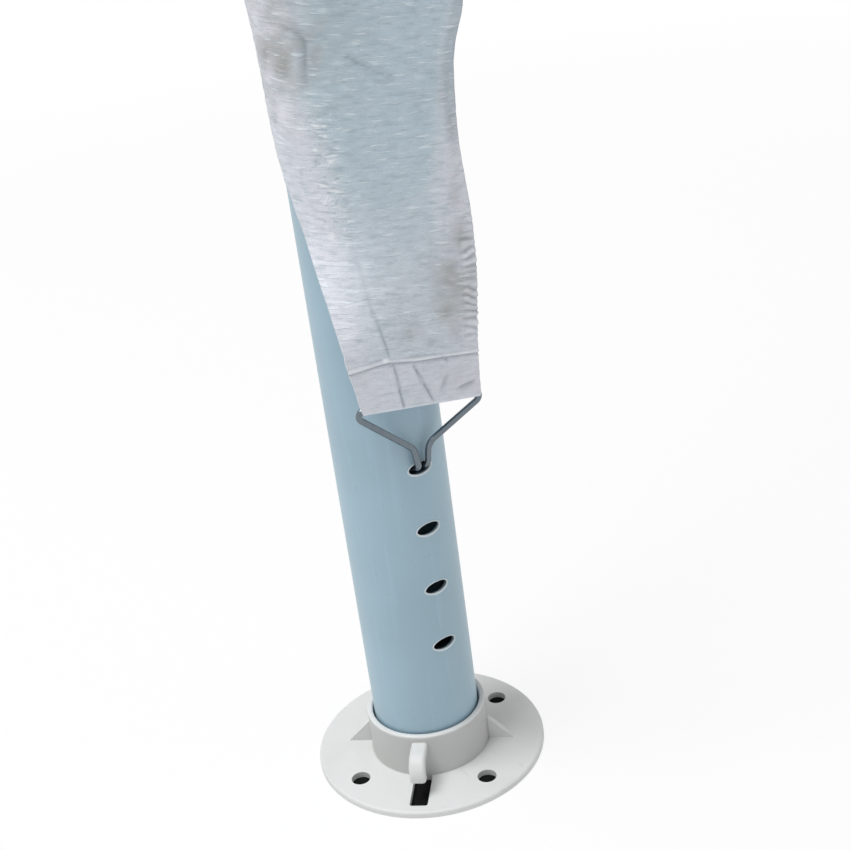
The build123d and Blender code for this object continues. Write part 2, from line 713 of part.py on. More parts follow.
def line_pegs(azimuth):
    """Saddle, post and head for each loop of line."""
    tube = raised(bar_x(ARM_R + FIT, 0, ARM_LENGTH, 0, 0), azimuth)
    pegs = []
    for distance in line_places():
        r, z = on_arm(distance)
        post_foot = z + CLIP_BASE_TOP
        post_top = post_foot + CLIP_POST_H
        peg = disc(CLIP_BASE_R, z, post_foot)
        peg += disc(CLIP_POST_R, post_foot, post_top)
        peg += disc(CLIP_HEAD_R, post_top, post_top + CLIP_HEAD_T)
        whole = turned(Pos(r, 0, 0) * peg, azimuth) - tube
        pegs.append(whole.solids().sort_by(Axis.Z)[-1])
    return Compound(children=pegs)


def strut(azimuth):
    """Pair of flat strips from the crown's pin to the arm's saddle."""
    r, z = on_arm(STRUT_AT)
    across = r - CROWN_PIVOT_R
    down = CROWN_PIVOT_Z - z
    length = math.hypot(across, down)
    fall = math.degrees(math.atan2(down, across))
    outline = Pos(length / 2, 0) * SlotCenterToCenter(length, STRIP_W)
    outline -= Circle(PIN_R + RUN)
    strips = []
    for side in (1, -1):
        near = STRIP_NEAR if side > 0 else -STRIP_FAR
        strip = Pos(0, near, 0) * extrude(Plane.XZ * outline, -STRIP_T)
        rivet = fillet(rim_edges(disc(RIVET_R, 0, RIVET_T), RIVET_T), RIVET_EDGE)
        strip += Pos(length, side * STRIP_FAR, 0) * Rot(-90 * side, 0, 0) * rivet
        placed = Pos(CROWN_PIVOT_R, 0, CROWN_PIVOT_Z) * Rot(0, fall, 0) * strip
        strips.append(turned(placed, azimuth))
    return Compound(children=strips)


def line_quarter(azimuth):
    """One corner of every loop of line, from the middle of one side to the middle of the next."""
    runs = []
    total = 0.0
    for distance in line_places():
        r, z = on_arm(distance)
        half = r * math.cos(math.radians(ARM_FIRST)) + LINE_BEND_R
        height = z + CLIP_BASE_TOP + CLIP_POST_H / 2
        corner = [(0, half, height), (half, half, height), (half, 0, height)]
        route = FilletPolyline(*corner, radius=LINE_BEND_R)
        start = Plane(origin=route @ 0, z_dir=route % 0)
        runs.append(turned(sweep(start * Circle(LINE_R), path=route), azimuth - ARM_FIRST))
        total += route.length
    print("line quarter", round(total, 1), "long, bends", round(LINE_BEND_R, 2))
    return Compound(children=runs)


save("floor_flange", floor_flange())
save("foot_spigot", foot_spigot())
save("spigot_screw", spigot_screw(0.0))
save("thrust_washer", ring(MAST_R, SPIGOT_R + FIT, FLANGE_T, RIM_Z))
save("foot_bush", foot_bush())
save("mast_lower", mast_lower())
save("joint_sleeve", joint_sleeve())
save("sleeve_bush", sleeve_bush())
save("clamp_bolt", clamp_bolt())
save("clamp_nut", clamp_nut())
save("lever_pin", lever_pin())
save("clamp_lever", clamp_lever())
save("cover_hanger", cover_hanger())
save("storage_cover", storage_cover())
save("tension_bail", tension_bail())
save("mast_upper", ring(UPPER_R, UPPER_IN, UPPER_FOOT, UPPER_TOP))
save("guide_bush", guide_bush())
save("crown", crown())
save("crown_cap", crown_cap())
save("strut_pins", strut_pins())
save("runner", runner())
save("runner_bush", runner_bush())
save("arm_pins", arm_pins())
save("runner_knob", runner_knob())
for number, azimuth in arms():
    save(f"arm_tube_{number}", raised(arm_tube(), azimuth))
    save(f"arm_root_{number}", raised(arm_root(), azimuth))
    save(f"arm_tip_{number}", raised(arm_tip(), azimuth))
    save(f"strut_saddle_{number}", raised(strut_saddle(), azimuth))
    save(f"line_pegs_{number}", line_pegs(azimuth))
    save(f"strut_{number}", strut(azimuth))
    save(f"line_{number}", line_quarter(azimuth))
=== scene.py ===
import json
import math

import bpy
import numpy as np
from bpy.props import FloatProperty, FloatVectorProperty, PointerProperty
from mathutils import Matrix, Vector


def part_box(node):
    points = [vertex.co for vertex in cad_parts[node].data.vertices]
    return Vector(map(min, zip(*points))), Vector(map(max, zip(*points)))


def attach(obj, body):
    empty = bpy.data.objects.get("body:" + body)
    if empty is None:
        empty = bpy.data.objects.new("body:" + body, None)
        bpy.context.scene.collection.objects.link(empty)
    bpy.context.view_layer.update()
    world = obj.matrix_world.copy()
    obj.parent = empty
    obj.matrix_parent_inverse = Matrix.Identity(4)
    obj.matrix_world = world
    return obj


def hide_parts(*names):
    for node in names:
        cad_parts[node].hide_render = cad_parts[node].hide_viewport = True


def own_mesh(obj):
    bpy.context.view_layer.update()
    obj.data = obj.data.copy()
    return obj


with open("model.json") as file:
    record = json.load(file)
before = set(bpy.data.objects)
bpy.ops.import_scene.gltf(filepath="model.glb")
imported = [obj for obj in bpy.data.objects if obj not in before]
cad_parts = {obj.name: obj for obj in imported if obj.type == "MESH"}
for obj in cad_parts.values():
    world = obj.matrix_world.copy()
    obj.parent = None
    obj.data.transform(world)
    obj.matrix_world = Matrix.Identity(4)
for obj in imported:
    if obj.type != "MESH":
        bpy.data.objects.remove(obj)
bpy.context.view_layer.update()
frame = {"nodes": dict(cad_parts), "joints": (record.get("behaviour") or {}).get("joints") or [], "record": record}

bl_info = {
    "name": "Rotary clothesline",
    "version": (1, 0, 0),
    "blender": (4, 5, 0),
    "location": "View3D > Sidebar > Clothesline",
    "description": "Dresses the packed clothesline with its cover, line, finishes and studio",
    "category": "Object",
}

MM = 0.001

# Floor flange
COLLAR_OUTSET = 3.5 * MM             # collar's outer wall, from the mast's surface
COLLAR_LIP = 2 * MM                  # height of the collar's top lip, which the painted shade leaves out
COLLAR_FADES = (0.5 * MM, 0.9 * MM)  # distances off the wall between which its painted shade goes out

# Places taken from the frame
JOINTS = {joint["name"]: joint for joint in frame["joints"]}
MAST_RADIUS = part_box("mast_lower")[1].x
HEM_AXIS = Vector(JOINTS["bail_swing"]["pos_m"])
HEM_DIRECTION = Vector(JOINTS["bail_swing"]["axis"])
HEM_SLOPE = HEM_DIRECTION.z / HEM_DIRECTION.x
FLANGE_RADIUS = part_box("floor_flange")[1].x
COLLAR_RADIUS = MAST_RADIUS + COLLAR_OUTSET
COLLAR_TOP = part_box("floor_flange")[1].z
PEG_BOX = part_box("cover_hanger")
PEG_HEIGHT = (PEG_BOX[0].z + PEG_BOX[1].z) / 2

# Cover's edges: heights, and at each the free right edge, the left edge as if flat, and the left edge
# in degrees round the mast from its front
EDGE_HEIGHT = np.array([188, 209, 221, 248, 266, 289, 303, 330, 347, 370, 430, 500, 560, 600]) * MM
EDGE_RIGHT = np.array([29.3, 29.8, 30.8, 34.4, 34.7, 33.8, 33.7, 35.8, 44, 45, 41, 35, 29, 28]) * MM
EDGE_LEFT = np.array([-28, -32, -35, -39, -41, -45, -47, -50, -50, -50, -48, -40, -30, -28]) * MM
EDGE_TURN = np.radians([-46, -56, -61, -73, -82, -97, -110, -121, -126, -128, -122, -104, -76, -60])
EDGE_SOFTNESS = 7 * MM
EASE_SAMPLES = 9
FRONT_OUT = 34.4 * MM      # cloth's middle plane at the hem, in front of the mast's axis
TOP_OUT = 39.5 * MM        # the same at the hanger's peg
WRAP_STARTS = (204 * MM, 272 * MM)
WRAP_ENDS = (500 * MM, 572 * MM)
WRAP_RADIUS_HEIGHT = np.array([280, 330, 360, 480]) * MM
WRAP_RADIUS = np.array([25.6, 26.6, 28.0, 28.0]) * MM
COVER_ABOVE_PEG = 15 * MM
SEAM_HEIGHT = 19.6 * MM    # top of the hem's sleeve, over the bail's crossbar
TOP_HEM = 27 * MM          # depth of the hem that holds the eyelet
SLEEVE_RADIUS = 1.95 * MM
SLEEVE_GAP = 0.9 * MM
SLEEVE_INSET = 4 * MM      # how far the sleeve's back stops short of the cloth's left edge
TILT_FADES = (216 * MM, 300 * MM)
BACK_STEP = 1.25 * MM
SLEEVE_CLOSES = 9 * MM     # height over the bar within which the sleeve's back meets its front
SLEEVE_STEPS = 12
WEFT_SKEW = 0.13           # slope of the cross threads against level rows, high on the cover
WEFT_SKEWS = (40 * MM, 160 * MM)

# Grid of the cover: its columns, then the spacing of its rows in each stretch from the top edge down, and
# where each stretch ends, up from the bail's crossbar
COVER_COLUMNS = 116
COVER_STEPS = np.array([1.4, 0.8, 0.4, 0.8]) * MM
COVER_STRETCHES = np.array([68, 23, 15, 0]) * MM

# Pressed creases of the cover: start and end, each across from the right edge and up from the bail's
# crossbar, depth as a share of the full depth, and width
CREASES = np.array([
    (44.3, 21.8, 47.0, 33.5, 0.75, 0.8),
    (47.0, 33.5, 49.2, 42.0, 0.55, 0.9),
    (49.2, 42.0, 51.5, 72.0, 0.25, 1.1),
    (42.5, 18.5, 39.4, -1.2, 1.00, 0.8),
    (33.0, 17.0, 24.7, 0.2, 1.00, 0.8),
    (18.0, 19.0, 15.8, 16.8, 0.90, 0.7),
    (16.8, 10.5, 20.4, 3.9, 0.65, 1.2),
    (11.5, 3.9, 3.0, 5.8, 0.95, 1.0),
    (48.0, 142.8, 34.0, 134.7, 0.60, 0.8),
    (34.0, 134.7, 26.2, 131.5, 0.50, 0.8),
    (69.0, 153.5, 65.0, 149.0, 0.90, 1.3),
    (65.0, 149.0, 62.5, 141.0, 0.80, 1.1),
    (62.5, 141.0, 60.3, 132.0, 0.45, 1.1),
    (76.0, 156.0, 69.0, 153.5, 0.70, 0.9),
]) * (MM, MM, MM, MM, 1, MM)
CREASE_FADES = (-2, 2)     # where a crease fades at its ends, in its own widths
CREASE_RIDGE = (2.4, 1.3)  # ridge beside a crease: how far off and how wide, in the crease's widths

# Seams of the cover: the lower one's line over the hem, the thread's width, and each groove's drop below
# its thread and width
SEAM_ACROSS = np.array([0, 32, 46, 66]) * MM
SEAM_UP = np.array([19.5, 19.5, 20.4, 17.2]) * MM
SEAM_WIDTH = 0.45 * MM
SEAM_GROOVE = (1.1 * MM, 0.6 * MM)
TOP_SEAM_WIDTH = 1.1 * MM
TOP_SEAM_GROOVE = (2.4 * MM, 1.1 * MM)
TOP_SEAM_SHARE = 0.7       # top seam's height, against the lower one's
SEAM_KNOT = 46 * MM        # where the seam's thread is tied off, from the right edge
KNOT_RISE = 0.4 * MM
KNOT_SIZE = (1.4 * MM, 0.9 * MM)

# Gathers along the cover's right edge: how far apart, how far in, and the heights between which they begin,
# over the seam, and end, over the bail's crossbar
PUCKER_PITCH = 3.1 * MM
PUCKER_REACH = 7.5 * MM
PUCKER_BEGINS = (2 * MM, 8 * MM)
PUCKER_ENDS = (62 * MM, 84 * MM)
PUCKER_WANDER = 2.6        # most that a wave is shifted, in radians
PUCKER_END = 1.2 * MM      # width of the line of painted shade where the gathers end

# Uneven forms of the cover: size of the noise's cells across and up, and its seed
LATTICE = 96
UNEVEN_TIGHTNESS = ((7 * MM, 40 * MM), 17)
UNEVEN_WANDER = ((6 * MM, 5 * MM), 12)
UNEVEN_GATHERS = ((5 * MM, 4 * MM), 13)
UNEVEN_SOILING = ((6 * MM, 5 * MM), 15)
FINE_SLUBS = ((8 * MM, 2.4 * MM), 3)
SLUBS = ((6 * MM, 2.2 * MM), 4)
SLACK_WAVES = ((22 * MM, 38 * MM), 9)
LOOSE_BEGINS = 5 * MM      # height over the seam within which the cloth comes loose
SLACK_BEGINS = 12 * MM     # from the right edge
CURL_REACH = 8 * MM        # part of the right edge that curls back
CURL_RISES = (70 * MM, 105 * MM)

# Soiled patches, and a brownish darker line down the right edge: centre across and up, half width, half height,
# strength
STAINS = np.array([
    (77, 146, 31, 31, 0.90),
    (66, 148, 5, 9, 0.65),
    (61, 137, 3.5, 9, 0.50),
    (15, 38, 8, 6, 1.00),
    (11, 47, 14, 22, 0.95),
    # the next four make the brownish darker line down the right edge
    (6, 122, 4, 7, 0.60),
    (3, 110, 3, 9, 0.70),
    (6, 82, 4, 8, 0.45),
    (6, 65, 6, 10, 0.75),
    (26, 33, 20, 16, 0.35),
    (34, 31, 3.2, 8, 0.55),
    (14, 8, 18, 11, 0.28),
]) * (MM, MM, MM, MM, 1)

# Colour zones of the cloth: distances across from the right edge, or up from the bail's crossbar, between
# which a zone comes in or goes out
# zone of the painted show-through of the mast
SHOW_THROUGH_RIGHT = (12 * MM, 26 * MM)
SHOW_THROUGH_LEFT = (50 * MM, 66 * MM)
SHOW_THROUGH_RIGHT_LEANS = (85 * MM, 120 * MM)
SHOW_THROUGH_LEFT_LEANS = (95 * MM, 145 * MM)
SHOW_THROUGH_OVER_HEM = (18 * MM, 22 * MM)
SHOW_THROUGH_HIGH = (40 * MM, 115 * MM)
HEM_ENDS = (17 * MM, 22 * MM)
# strip of painted shade where the right edge curls back
CURL_SHADE_ACROSS = (4.5 * MM, 8 * MM)
CURL_SHADE_UP = (96 * MM, 125 * MM)
# wrinkled zone: painted shade in its hollows, painted highlight on its tops
WRINKLED_ACROSS = ((46 * MM, 53 * MM), (58 * MM, 66 * MM))
WRINKLED_UP = ((62 * MM, 74 * MM), (112 * MM, 126 * MM))

# Arms and the line strung on them
ARM_COUNT = 4
ARM_PIVOTS = {number: Vector(JOINTS[f"arm_{number}_fold"]["pos_m"]) for number in range(1, ARM_COUNT + 1)}
ARM_RISE = math.radians(25)
LOOP_FIRST = 250 * MM
LOOP_STEP = 107 * MM
LOOP_COUNT = 5
LOOP_OVER_ARM = 16 * MM
LOOP_BEND = 4.3 * MM
SIDE_TURN = math.radians(135)    # from an arm's own direction to that of a side which starts at it
CORNER_TURN = math.radians(45)   # part of a loop's corner that belongs to one side
LEG_POINTS = 40
BEND_POINTS = 5
CORD_SIDES = 10
LAY_ALONG = 900                  # turns of the cord's lay, in radians a metre along it and round it
LAY_ROUND = 2000

# Slots in the mast
SLOT_HEIGHTS = np.array([70, 100, 130, 160]) * MM
SLOT_HALF_WIDTH = 5.9 * MM
SLOT_HALF_HEIGHT = 2.9 * MM
RIM_OUTSET = 0.1 * MM
RIM_BEAD = 0.38 * MM
RIM_SWELL = 0.45           # share by which the bead is thicker below and thinner above
RIM_POINTS = 56
RIM_SIDES = 8

# Eyelet where the cover hangs on its peg
EYELET_INNER = 4.7 * MM
EYELET_OUTER = 9.5 * MM
EYELET_HEIGHT = 1.6 * MM
EYELET_SIDES = 48
EYELET_ROLL_SIDES = 16

# Soiling on the moulded pieces; the flange's colour also gives the painted shade on its collar wall
FLANGE_DUST_AND_SHADE = (0.585, 0.592, 0.583)
FITTINGS_SOILING = (0.22, 0.22, 0.22)
BUSH_SOILING = (0.55, 0.52, 0.46)

# Studio
FLOOR_GLOW = 0.84           # share of the floor's look that is plain white, near the object
FLOOR_WHITENS = (0.7, 2.2)  # distances from the mast between which the floor becomes all white
FLOOR_REACH = 9
FLOOR_POINTS = 13
FLOOR_DROP = 0.2 * MM       # how far the floor lies under the flange
FLOOR_OPENS = (0.93, 0.98)  # shares of the flange's radius between which the painted shade under it gives way to the pale floor
FLOOR_PALE = (0.88, 0.88, 0.88)
# colour of the painted shade on the floor under the flange
FLOOR_PAINTED_SHADE = (0.012, 0.012, 0.012)
WHITE = (1, 1, 1, 1)
LIGHT_TARGET = Vector((0, 0, 0.25))
LIGHT_SIZE = 1.6
KEY_OFFSET = (-0.95, 0.4, 2.95)   # from the target: to the camera's right, towards the camera, and up
FILL_OFFSET = (2.2, 1.0, 0.6)
SENSOR_WIDTH = 36
CLIP_START = 0.01

# What all colour properties share
COLOUR = {"subtype": "COLOR", "size": 3}


class CoverSizes(bpy.types.PropertyGroup):
    """Sizes and colours of the storage cover."""

    thickness: FloatProperty(
        name="Cloth thickness", description="Thickness of the cloth", default=0.7 * MM, unit="LENGTH")
    crease: FloatProperty(
        name="Crease depth", description="Depth of the pressed creases", default=0.9 * MM, unit="LENGTH")
    pucker: FloatProperty(
        name="Pucker height", description="Height of the gathers at the edge", default=1 * MM, unit="LENGTH")
    seam: FloatProperty(
        name="Seam height", description="Height of the seam over the hem", default=0.8 * MM, unit="LENGTH")
    slack: FloatProperty(
        name="Slack", description="Height of the loose waves", default=1.6 * MM, unit="LENGTH")
    curl: FloatProperty(
        name="Edge curl", description="How far the right edge curls back", default=3 * MM, unit="LENGTH")
    cloth: FloatVectorProperty(
        name="Cloth", description="The cloth's colour at its edges", **COLOUR, default=(0.795, 0.802, 0.872))
    pale: FloatVectorProperty(
        name="Thick threads", description="Colour of thick cross threads", **COLOUR, default=(0.87, 0.95, 1))
    # the seam thread's colour, also its painted highlight, and the painted highlight on the gathers' and wrinkles'
    # tops
    thread: FloatVectorProperty(
        name="Seam thread", description="Colour of the seam and of the tops of the gathers",
        **COLOUR, default=(0.93, 0.965, 1.0))
    # painted show-through: the mast's colour as seen through the thin cloth; darker copies of it colour the
    # cloth's other marks
    mast_show_through: FloatVectorProperty(
        name="Cloth over the mast", description="Colour where the mast shows through the cloth",
        **COLOUR, default=(0.539, 0.668, 0.75))
    soiled: FloatVectorProperty(
        name="Soiling", description="Colour of the soiled patches", **COLOUR, default=(0.405, 0.409, 0.401))


class LineSizes(bpy.types.PropertyGroup):
    """Sizes and colour of the strung line."""

    radius: FloatProperty(
        name="Line radius", description="Radius of the covered line", default=1.5 * MM, unit="LENGTH")
    sag: FloatProperty(
        name="Sag", description="How far a side hangs down at its middle", default=4 * MM, unit="LENGTH")
    colour: FloatVectorProperty(
        name="Line", description="Colour of the line's covering", **COLOUR, default=(0.72, 0.75, 0.78))


class FinishColours(bpy.types.PropertyGroup):
    """Colours of the rigid pieces."""

    mast: FloatVectorProperty(
        name="Mast paint", description="Powder coat of the mast", **COLOUR, default=(0.349, 0.5, 0.591))
    # painted highlight: paler paint on each slot's rounded edge, where it catches the light
    rim_highlight: FloatVectorProperty(
        name="Slot rims", description="Paint thinned on the rounded edge of each slot",
        **COLOUR, default=(0.672, 0.741, 0.776))
    flange: FloatVectorProperty(
        name="Floor flange", description="White moulded plastic", **COLOUR, default=(0.698, 0.707, 0.703))
    fittings: FloatVectorProperty(
        name="Fittings", description="Grey moulded plastic of sleeve, runner and crown",
        **COLOUR, default=(0.14, 0.155, 0.18))
    tube: FloatVectorProperty(
        name="Arm tube", description="Anodised aluminium of the arms", **COLOUR, default=(0.66, 0.67, 0.68))
    bush: FloatVectorProperty(
        name="Bushes", description="Natural nylon of the bushes", **COLOUR, default=(0.638, 0.621, 0.569))
    zinc: FloatVectorProperty(
        name="Zinc", description="Zinc plate of pins, struts, screws", **COLOUR, default=(0.56, 0.57, 0.58))
    wire: FloatVectorProperty(
        name="Bail wire", description="Drawn wire of the bail", **COLOUR, default=(0.168, 0.20, 0.228))


class StageSizes(bpy.types.PropertyGroup):
    """Camera and light."""

    camera_place: FloatVectorProperty(
        name="Camera", description="Place of the camera", subtype="TRANSLATION", size=3, unit="LENGTH",
        default=(-0.2794, -0.48393, 0.4287))
    camera_forward: FloatVectorProperty(
        name="Looking", description="Direction in which the camera looks", subtype="DIRECTION", size=3,
        default=(0.47819, 0.7711, -0.42041))
    camera_roll: FloatProperty(
        name="Roll", description="Turn of the camera about its line of sight", subtype="ANGLE",
        default=math.radians(-7.735))
    lens: FloatProperty(
        name="Lens", description="Focal length on a 36 mm sensor", default=59.37, unit="CAMERA")
    key: FloatProperty(
        name="Key light", description="Power of the large light on the left", default=93, unit="POWER")
    fill: FloatProperty(
        name="Fill light", description="Power of the fill light on the right", default=4.6, unit="POWER")
    ambient: FloatProperty(
        name="Surrounding light", description="Strength of the even light from all round", default=0.42)


class Value:
    """A node's output that takes part in Python arithmetic: each operator adds one Math node."""

    def __init__(self, nodes, socket):
        self.nodes, self.socket = nodes, socket

    def math(self, operation, *values):
        return self.nodes.node("ShaderNodeMath", {"operation": operation}, dict(enumerate(values)))

    def __add__(self, other):
        return self.math("ADD", self, other)

    def __radd__(self, other):
        return self.math("ADD", other, self)

    def __sub__(self, other):
        return self.math("SUBTRACT", self, other)

    def __rsub__(self, other):
        return self.math("SUBTRACT", other, self)

    def __mul__(self, other):
        return self.math("MULTIPLY", self, other)

    def __rmul__(self, other):
        return self.math("MULTIPLY", other, self)

    def absolute(self):
        return self.math("ABSOLUTE", self)

    def sine(self):
        return self.math("SINE", self)

    def clipped(self):
        return self.math("MINIMUM", self.math("MAXIMUM", self, 0.0), 1.0)

    def between(self, low, high):
        """0 below low, 1 above high, and a smooth step from one to the other."""
        settings = {"interpolation_type": "SMOOTHSTEP"}
        return self.nodes.node("ShaderNodeMapRange", settings, {0: self, 1: low, 2: high, 3: 0.0, 4: 1.0})

    def inside(self, rise, fall):
        """1 in a band that comes in over the rise and goes out over the fall."""
        return self.between(*rise) * (1 - self.between(*fall))


class Nodes:
    """A node tree under construction."""

    def __init__(self, tree):
        self.tree = tree
        tree.nodes.clear()

    def node(self, kind, settings=None, inputs=None, output=0):
        """Adds a node, sets its settings, then its sockets, and gives back one output."""
        made = self.tree.nodes.new(kind)
        for name, setting in (settings or {}).items():
            setattr(made, name, setting)
        for name, value in (inputs or {}).items():
            socket = made.inputs[name]
            if isinstance(value, Value):
                self.tree.links.new(value.socket, socket)
            else:
                socket.default_value = value
        return Value(self, made.outputs[output]) if made.outputs else None

    def place(self):
        return self.node("ShaderNodeTexCoord", output="Object")

    def mapped_place(self, name):
        return self.node("ShaderNodeUVMap", {"uv_map": name})

    def split(self, vector):
        made = self.node("ShaderNodeSeparateXYZ", inputs={0: vector})
        return [Value(self, socket) for socket in made.socket.node.outputs]

    def mapped(self, vector, scale=(1, 1, 1), turn=(0, 0, 0)):
        return self.node("ShaderNodeMapping", inputs={"Vector": vector, "Rotation": turn, "Scale": scale})

    def noise(self, vector, scale, detail=2.0, roughness=0.5):
        """Cloudy noise, about 0 to 1."""
        inputs = {"Vector": vector, "Scale": scale, "Detail": detail, "Roughness": roughness}
        return self.node("ShaderNodeTexNoise", inputs=inputs)

    def blend(self, share, first, second):
        """Colour between first and second."""
        colours = [c if isinstance(c, Value) else (*c, 1.0) for c in (first, second)]
        inputs = {0: share, 6: colours[0], 7: colours[1]}
        return self.node("ShaderNodeMix", {"data_type": "RGBA"}, inputs, output=2)

    def surface(self, colours, roughness, height, depth):
        """The sockets that every finish varies: colour, roughness, and a relief of a depth."""
        inputs = {"Strength": 1.0, "Distance": depth, "Height": height}
        normal = self.node("ShaderNodeBump", inputs=inputs)
        return {"Base Color": colours, "Roughness": roughness, "Normal": normal}

    def length(self, vector):
        return self.node("ShaderNodeVectorMath", {"operation": "LENGTH"}, {0: vector}, "Value")

    def seen(self):
        """1 for a ray from the camera, a reflection or a clear body, and 0 for one that lights a surface."""
        kinds = ("Is Camera Ray", "Is Glossy Ray", "Is Transmission Ray")
        camera, glossy, clear = (self.node("ShaderNodeLightPath", output=kind) for kind in kinds)
        return (camera + glossy + clear).clipped()


def finish(name, build, constants=None):
    """A material: build(nodes) gives the sockets that vary, constants those that are the same all over."""
    material = bpy.data.materials.new(name)
    material.use_nodes = True
    nodes = Nodes(material.node_tree)
    surface = nodes.node("ShaderNodeBsdfPrincipled", inputs={**(constants or {}), **build(nodes)})
    nodes.node("ShaderNodeOutputMaterial", inputs={"Surface": surface})
    return material


def shaded(colour, factor):
    """The colour made lighter or darker."""
    return tuple(min(1.0, part * factor) for part in colour)


def mast_paint(name, colour):
    """Satin powder coat: faint clouds of colour, upright rub marks and an orange-peel surface."""
    def build(nodes):
        place = nodes.place()
        clouds = nodes.noise(place, 16, 3)
        rubbed = nodes.noise(nodes.mapped(place, (1, 1, 0.06)), 260, 3).between(0.56, 0.74)
        specks = nodes.noise(place, 420, 2).between(0.70, 0.78)
        colours = nodes.blend(clouds.between(0.3, 0.7), shaded(colour, 0.95), shaded(colour, 1.05))
        colours = nodes.blend(rubbed * 0.25, colours, shaded(colour, 1.22))
        colours = nodes.blend(specks * 0.35, colours, shaded(colour, 0.62))
        peel = nodes.noise(place, 900, 2)
        return nodes.surface(colours, 0.36 + 0.14 * clouds + 0.08 * rubbed, peel, 0.05 * MM)
    return finish(name, build, {"Coat Weight": 0.12, "Coat Roughness": 0.25})


def moulded_plastic(name, colour, dust_and_shade, grain, roughness, wall=None):
    """Moulded plastic with a fine grain and a thin film of dust in soft patches. A round wall of a given
    radius and top gets painted shade: it is greyer than the faces next to it."""
    def build(nodes):
        place = nodes.place()
        patches = nodes.noise(place, 34, 4).between(0.42, 0.78)
        fine = nodes.noise(place, grain, 2)
        scuffs = nodes.noise(nodes.mapped(place, (1, 0.15, 1)), 330, 3).between(0.62, 0.76)
        colours = nodes.blend(patches * 0.4, colour, dust_and_shade)
        colours = nodes.blend(scuffs * 0.3, colours, shaded(dust_and_shade, 0.9))
        # painted shade on the round wall, below its top lip
        if wall:
            radius, top = wall
            _, _, height = nodes.split(place)
            off_wall = (nodes.length(nodes.mapped(place, (1, 1, 0))) - radius).absolute()
            wall_shade = (1 - off_wall.between(*COLLAR_FADES)) * (1 - height.between(top - COLLAR_LIP, top))
            colours = nodes.blend(wall_shade * (0.85 + 0.15 * patches), colours, shaded(dust_and_shade, 0.9))
        return nodes.surface(colours, roughness + 0.12 * fine + 0.08 * patches, fine, 0.06 * MM)
    return finish(name, build)


def brushed_tube(name, colour, azimuth):
    """Satin anodised tube: fine drawing marks along an arm that points to the azimuth."""
    def build(nodes):
        turned = nodes.mapped(nodes.place(), turn=(0, 0, -azimuth))
        along = nodes.mapped(turned, (0.05, 1, 1), (0, ARM_RISE, 0))
        marks = nodes.noise(along, 900, 3)
        clouds = nodes.noise(nodes.place(), 12, 2)
        colours = nodes.blend(clouds * 0.5 + marks * 0.5, shaded(colour, 0.88), shaded(colour, 1.08))
        return nodes.surface(colours, 0.30 + 0.16 * marks, marks, 0.02 * MM)
    return finish(name, build, {"Metallic": 1.0})


def plated_steel(name, colour, roughness):
    """Zinc plate or drawn wire: small dull clouds over bright metal."""
    def build(nodes):
        place = nodes.place()
        spangle = nodes.noise(place, 240, 3)
        dull = nodes.noise(place, 60, 3).between(0.45, 0.75)
        colours = nodes.blend(spangle, shaded(colour, 0.84), shaded(colour, 1.14))
        colours = nodes.blend(dull * 0.5, colours, shaded(colour, 0.72))
        return nodes.surface(colours, roughness + 0.14 * dull + 0.06 * spangle, spangle, 0.02 * MM)
    return finish(name, build, {"Metallic": 0.92})


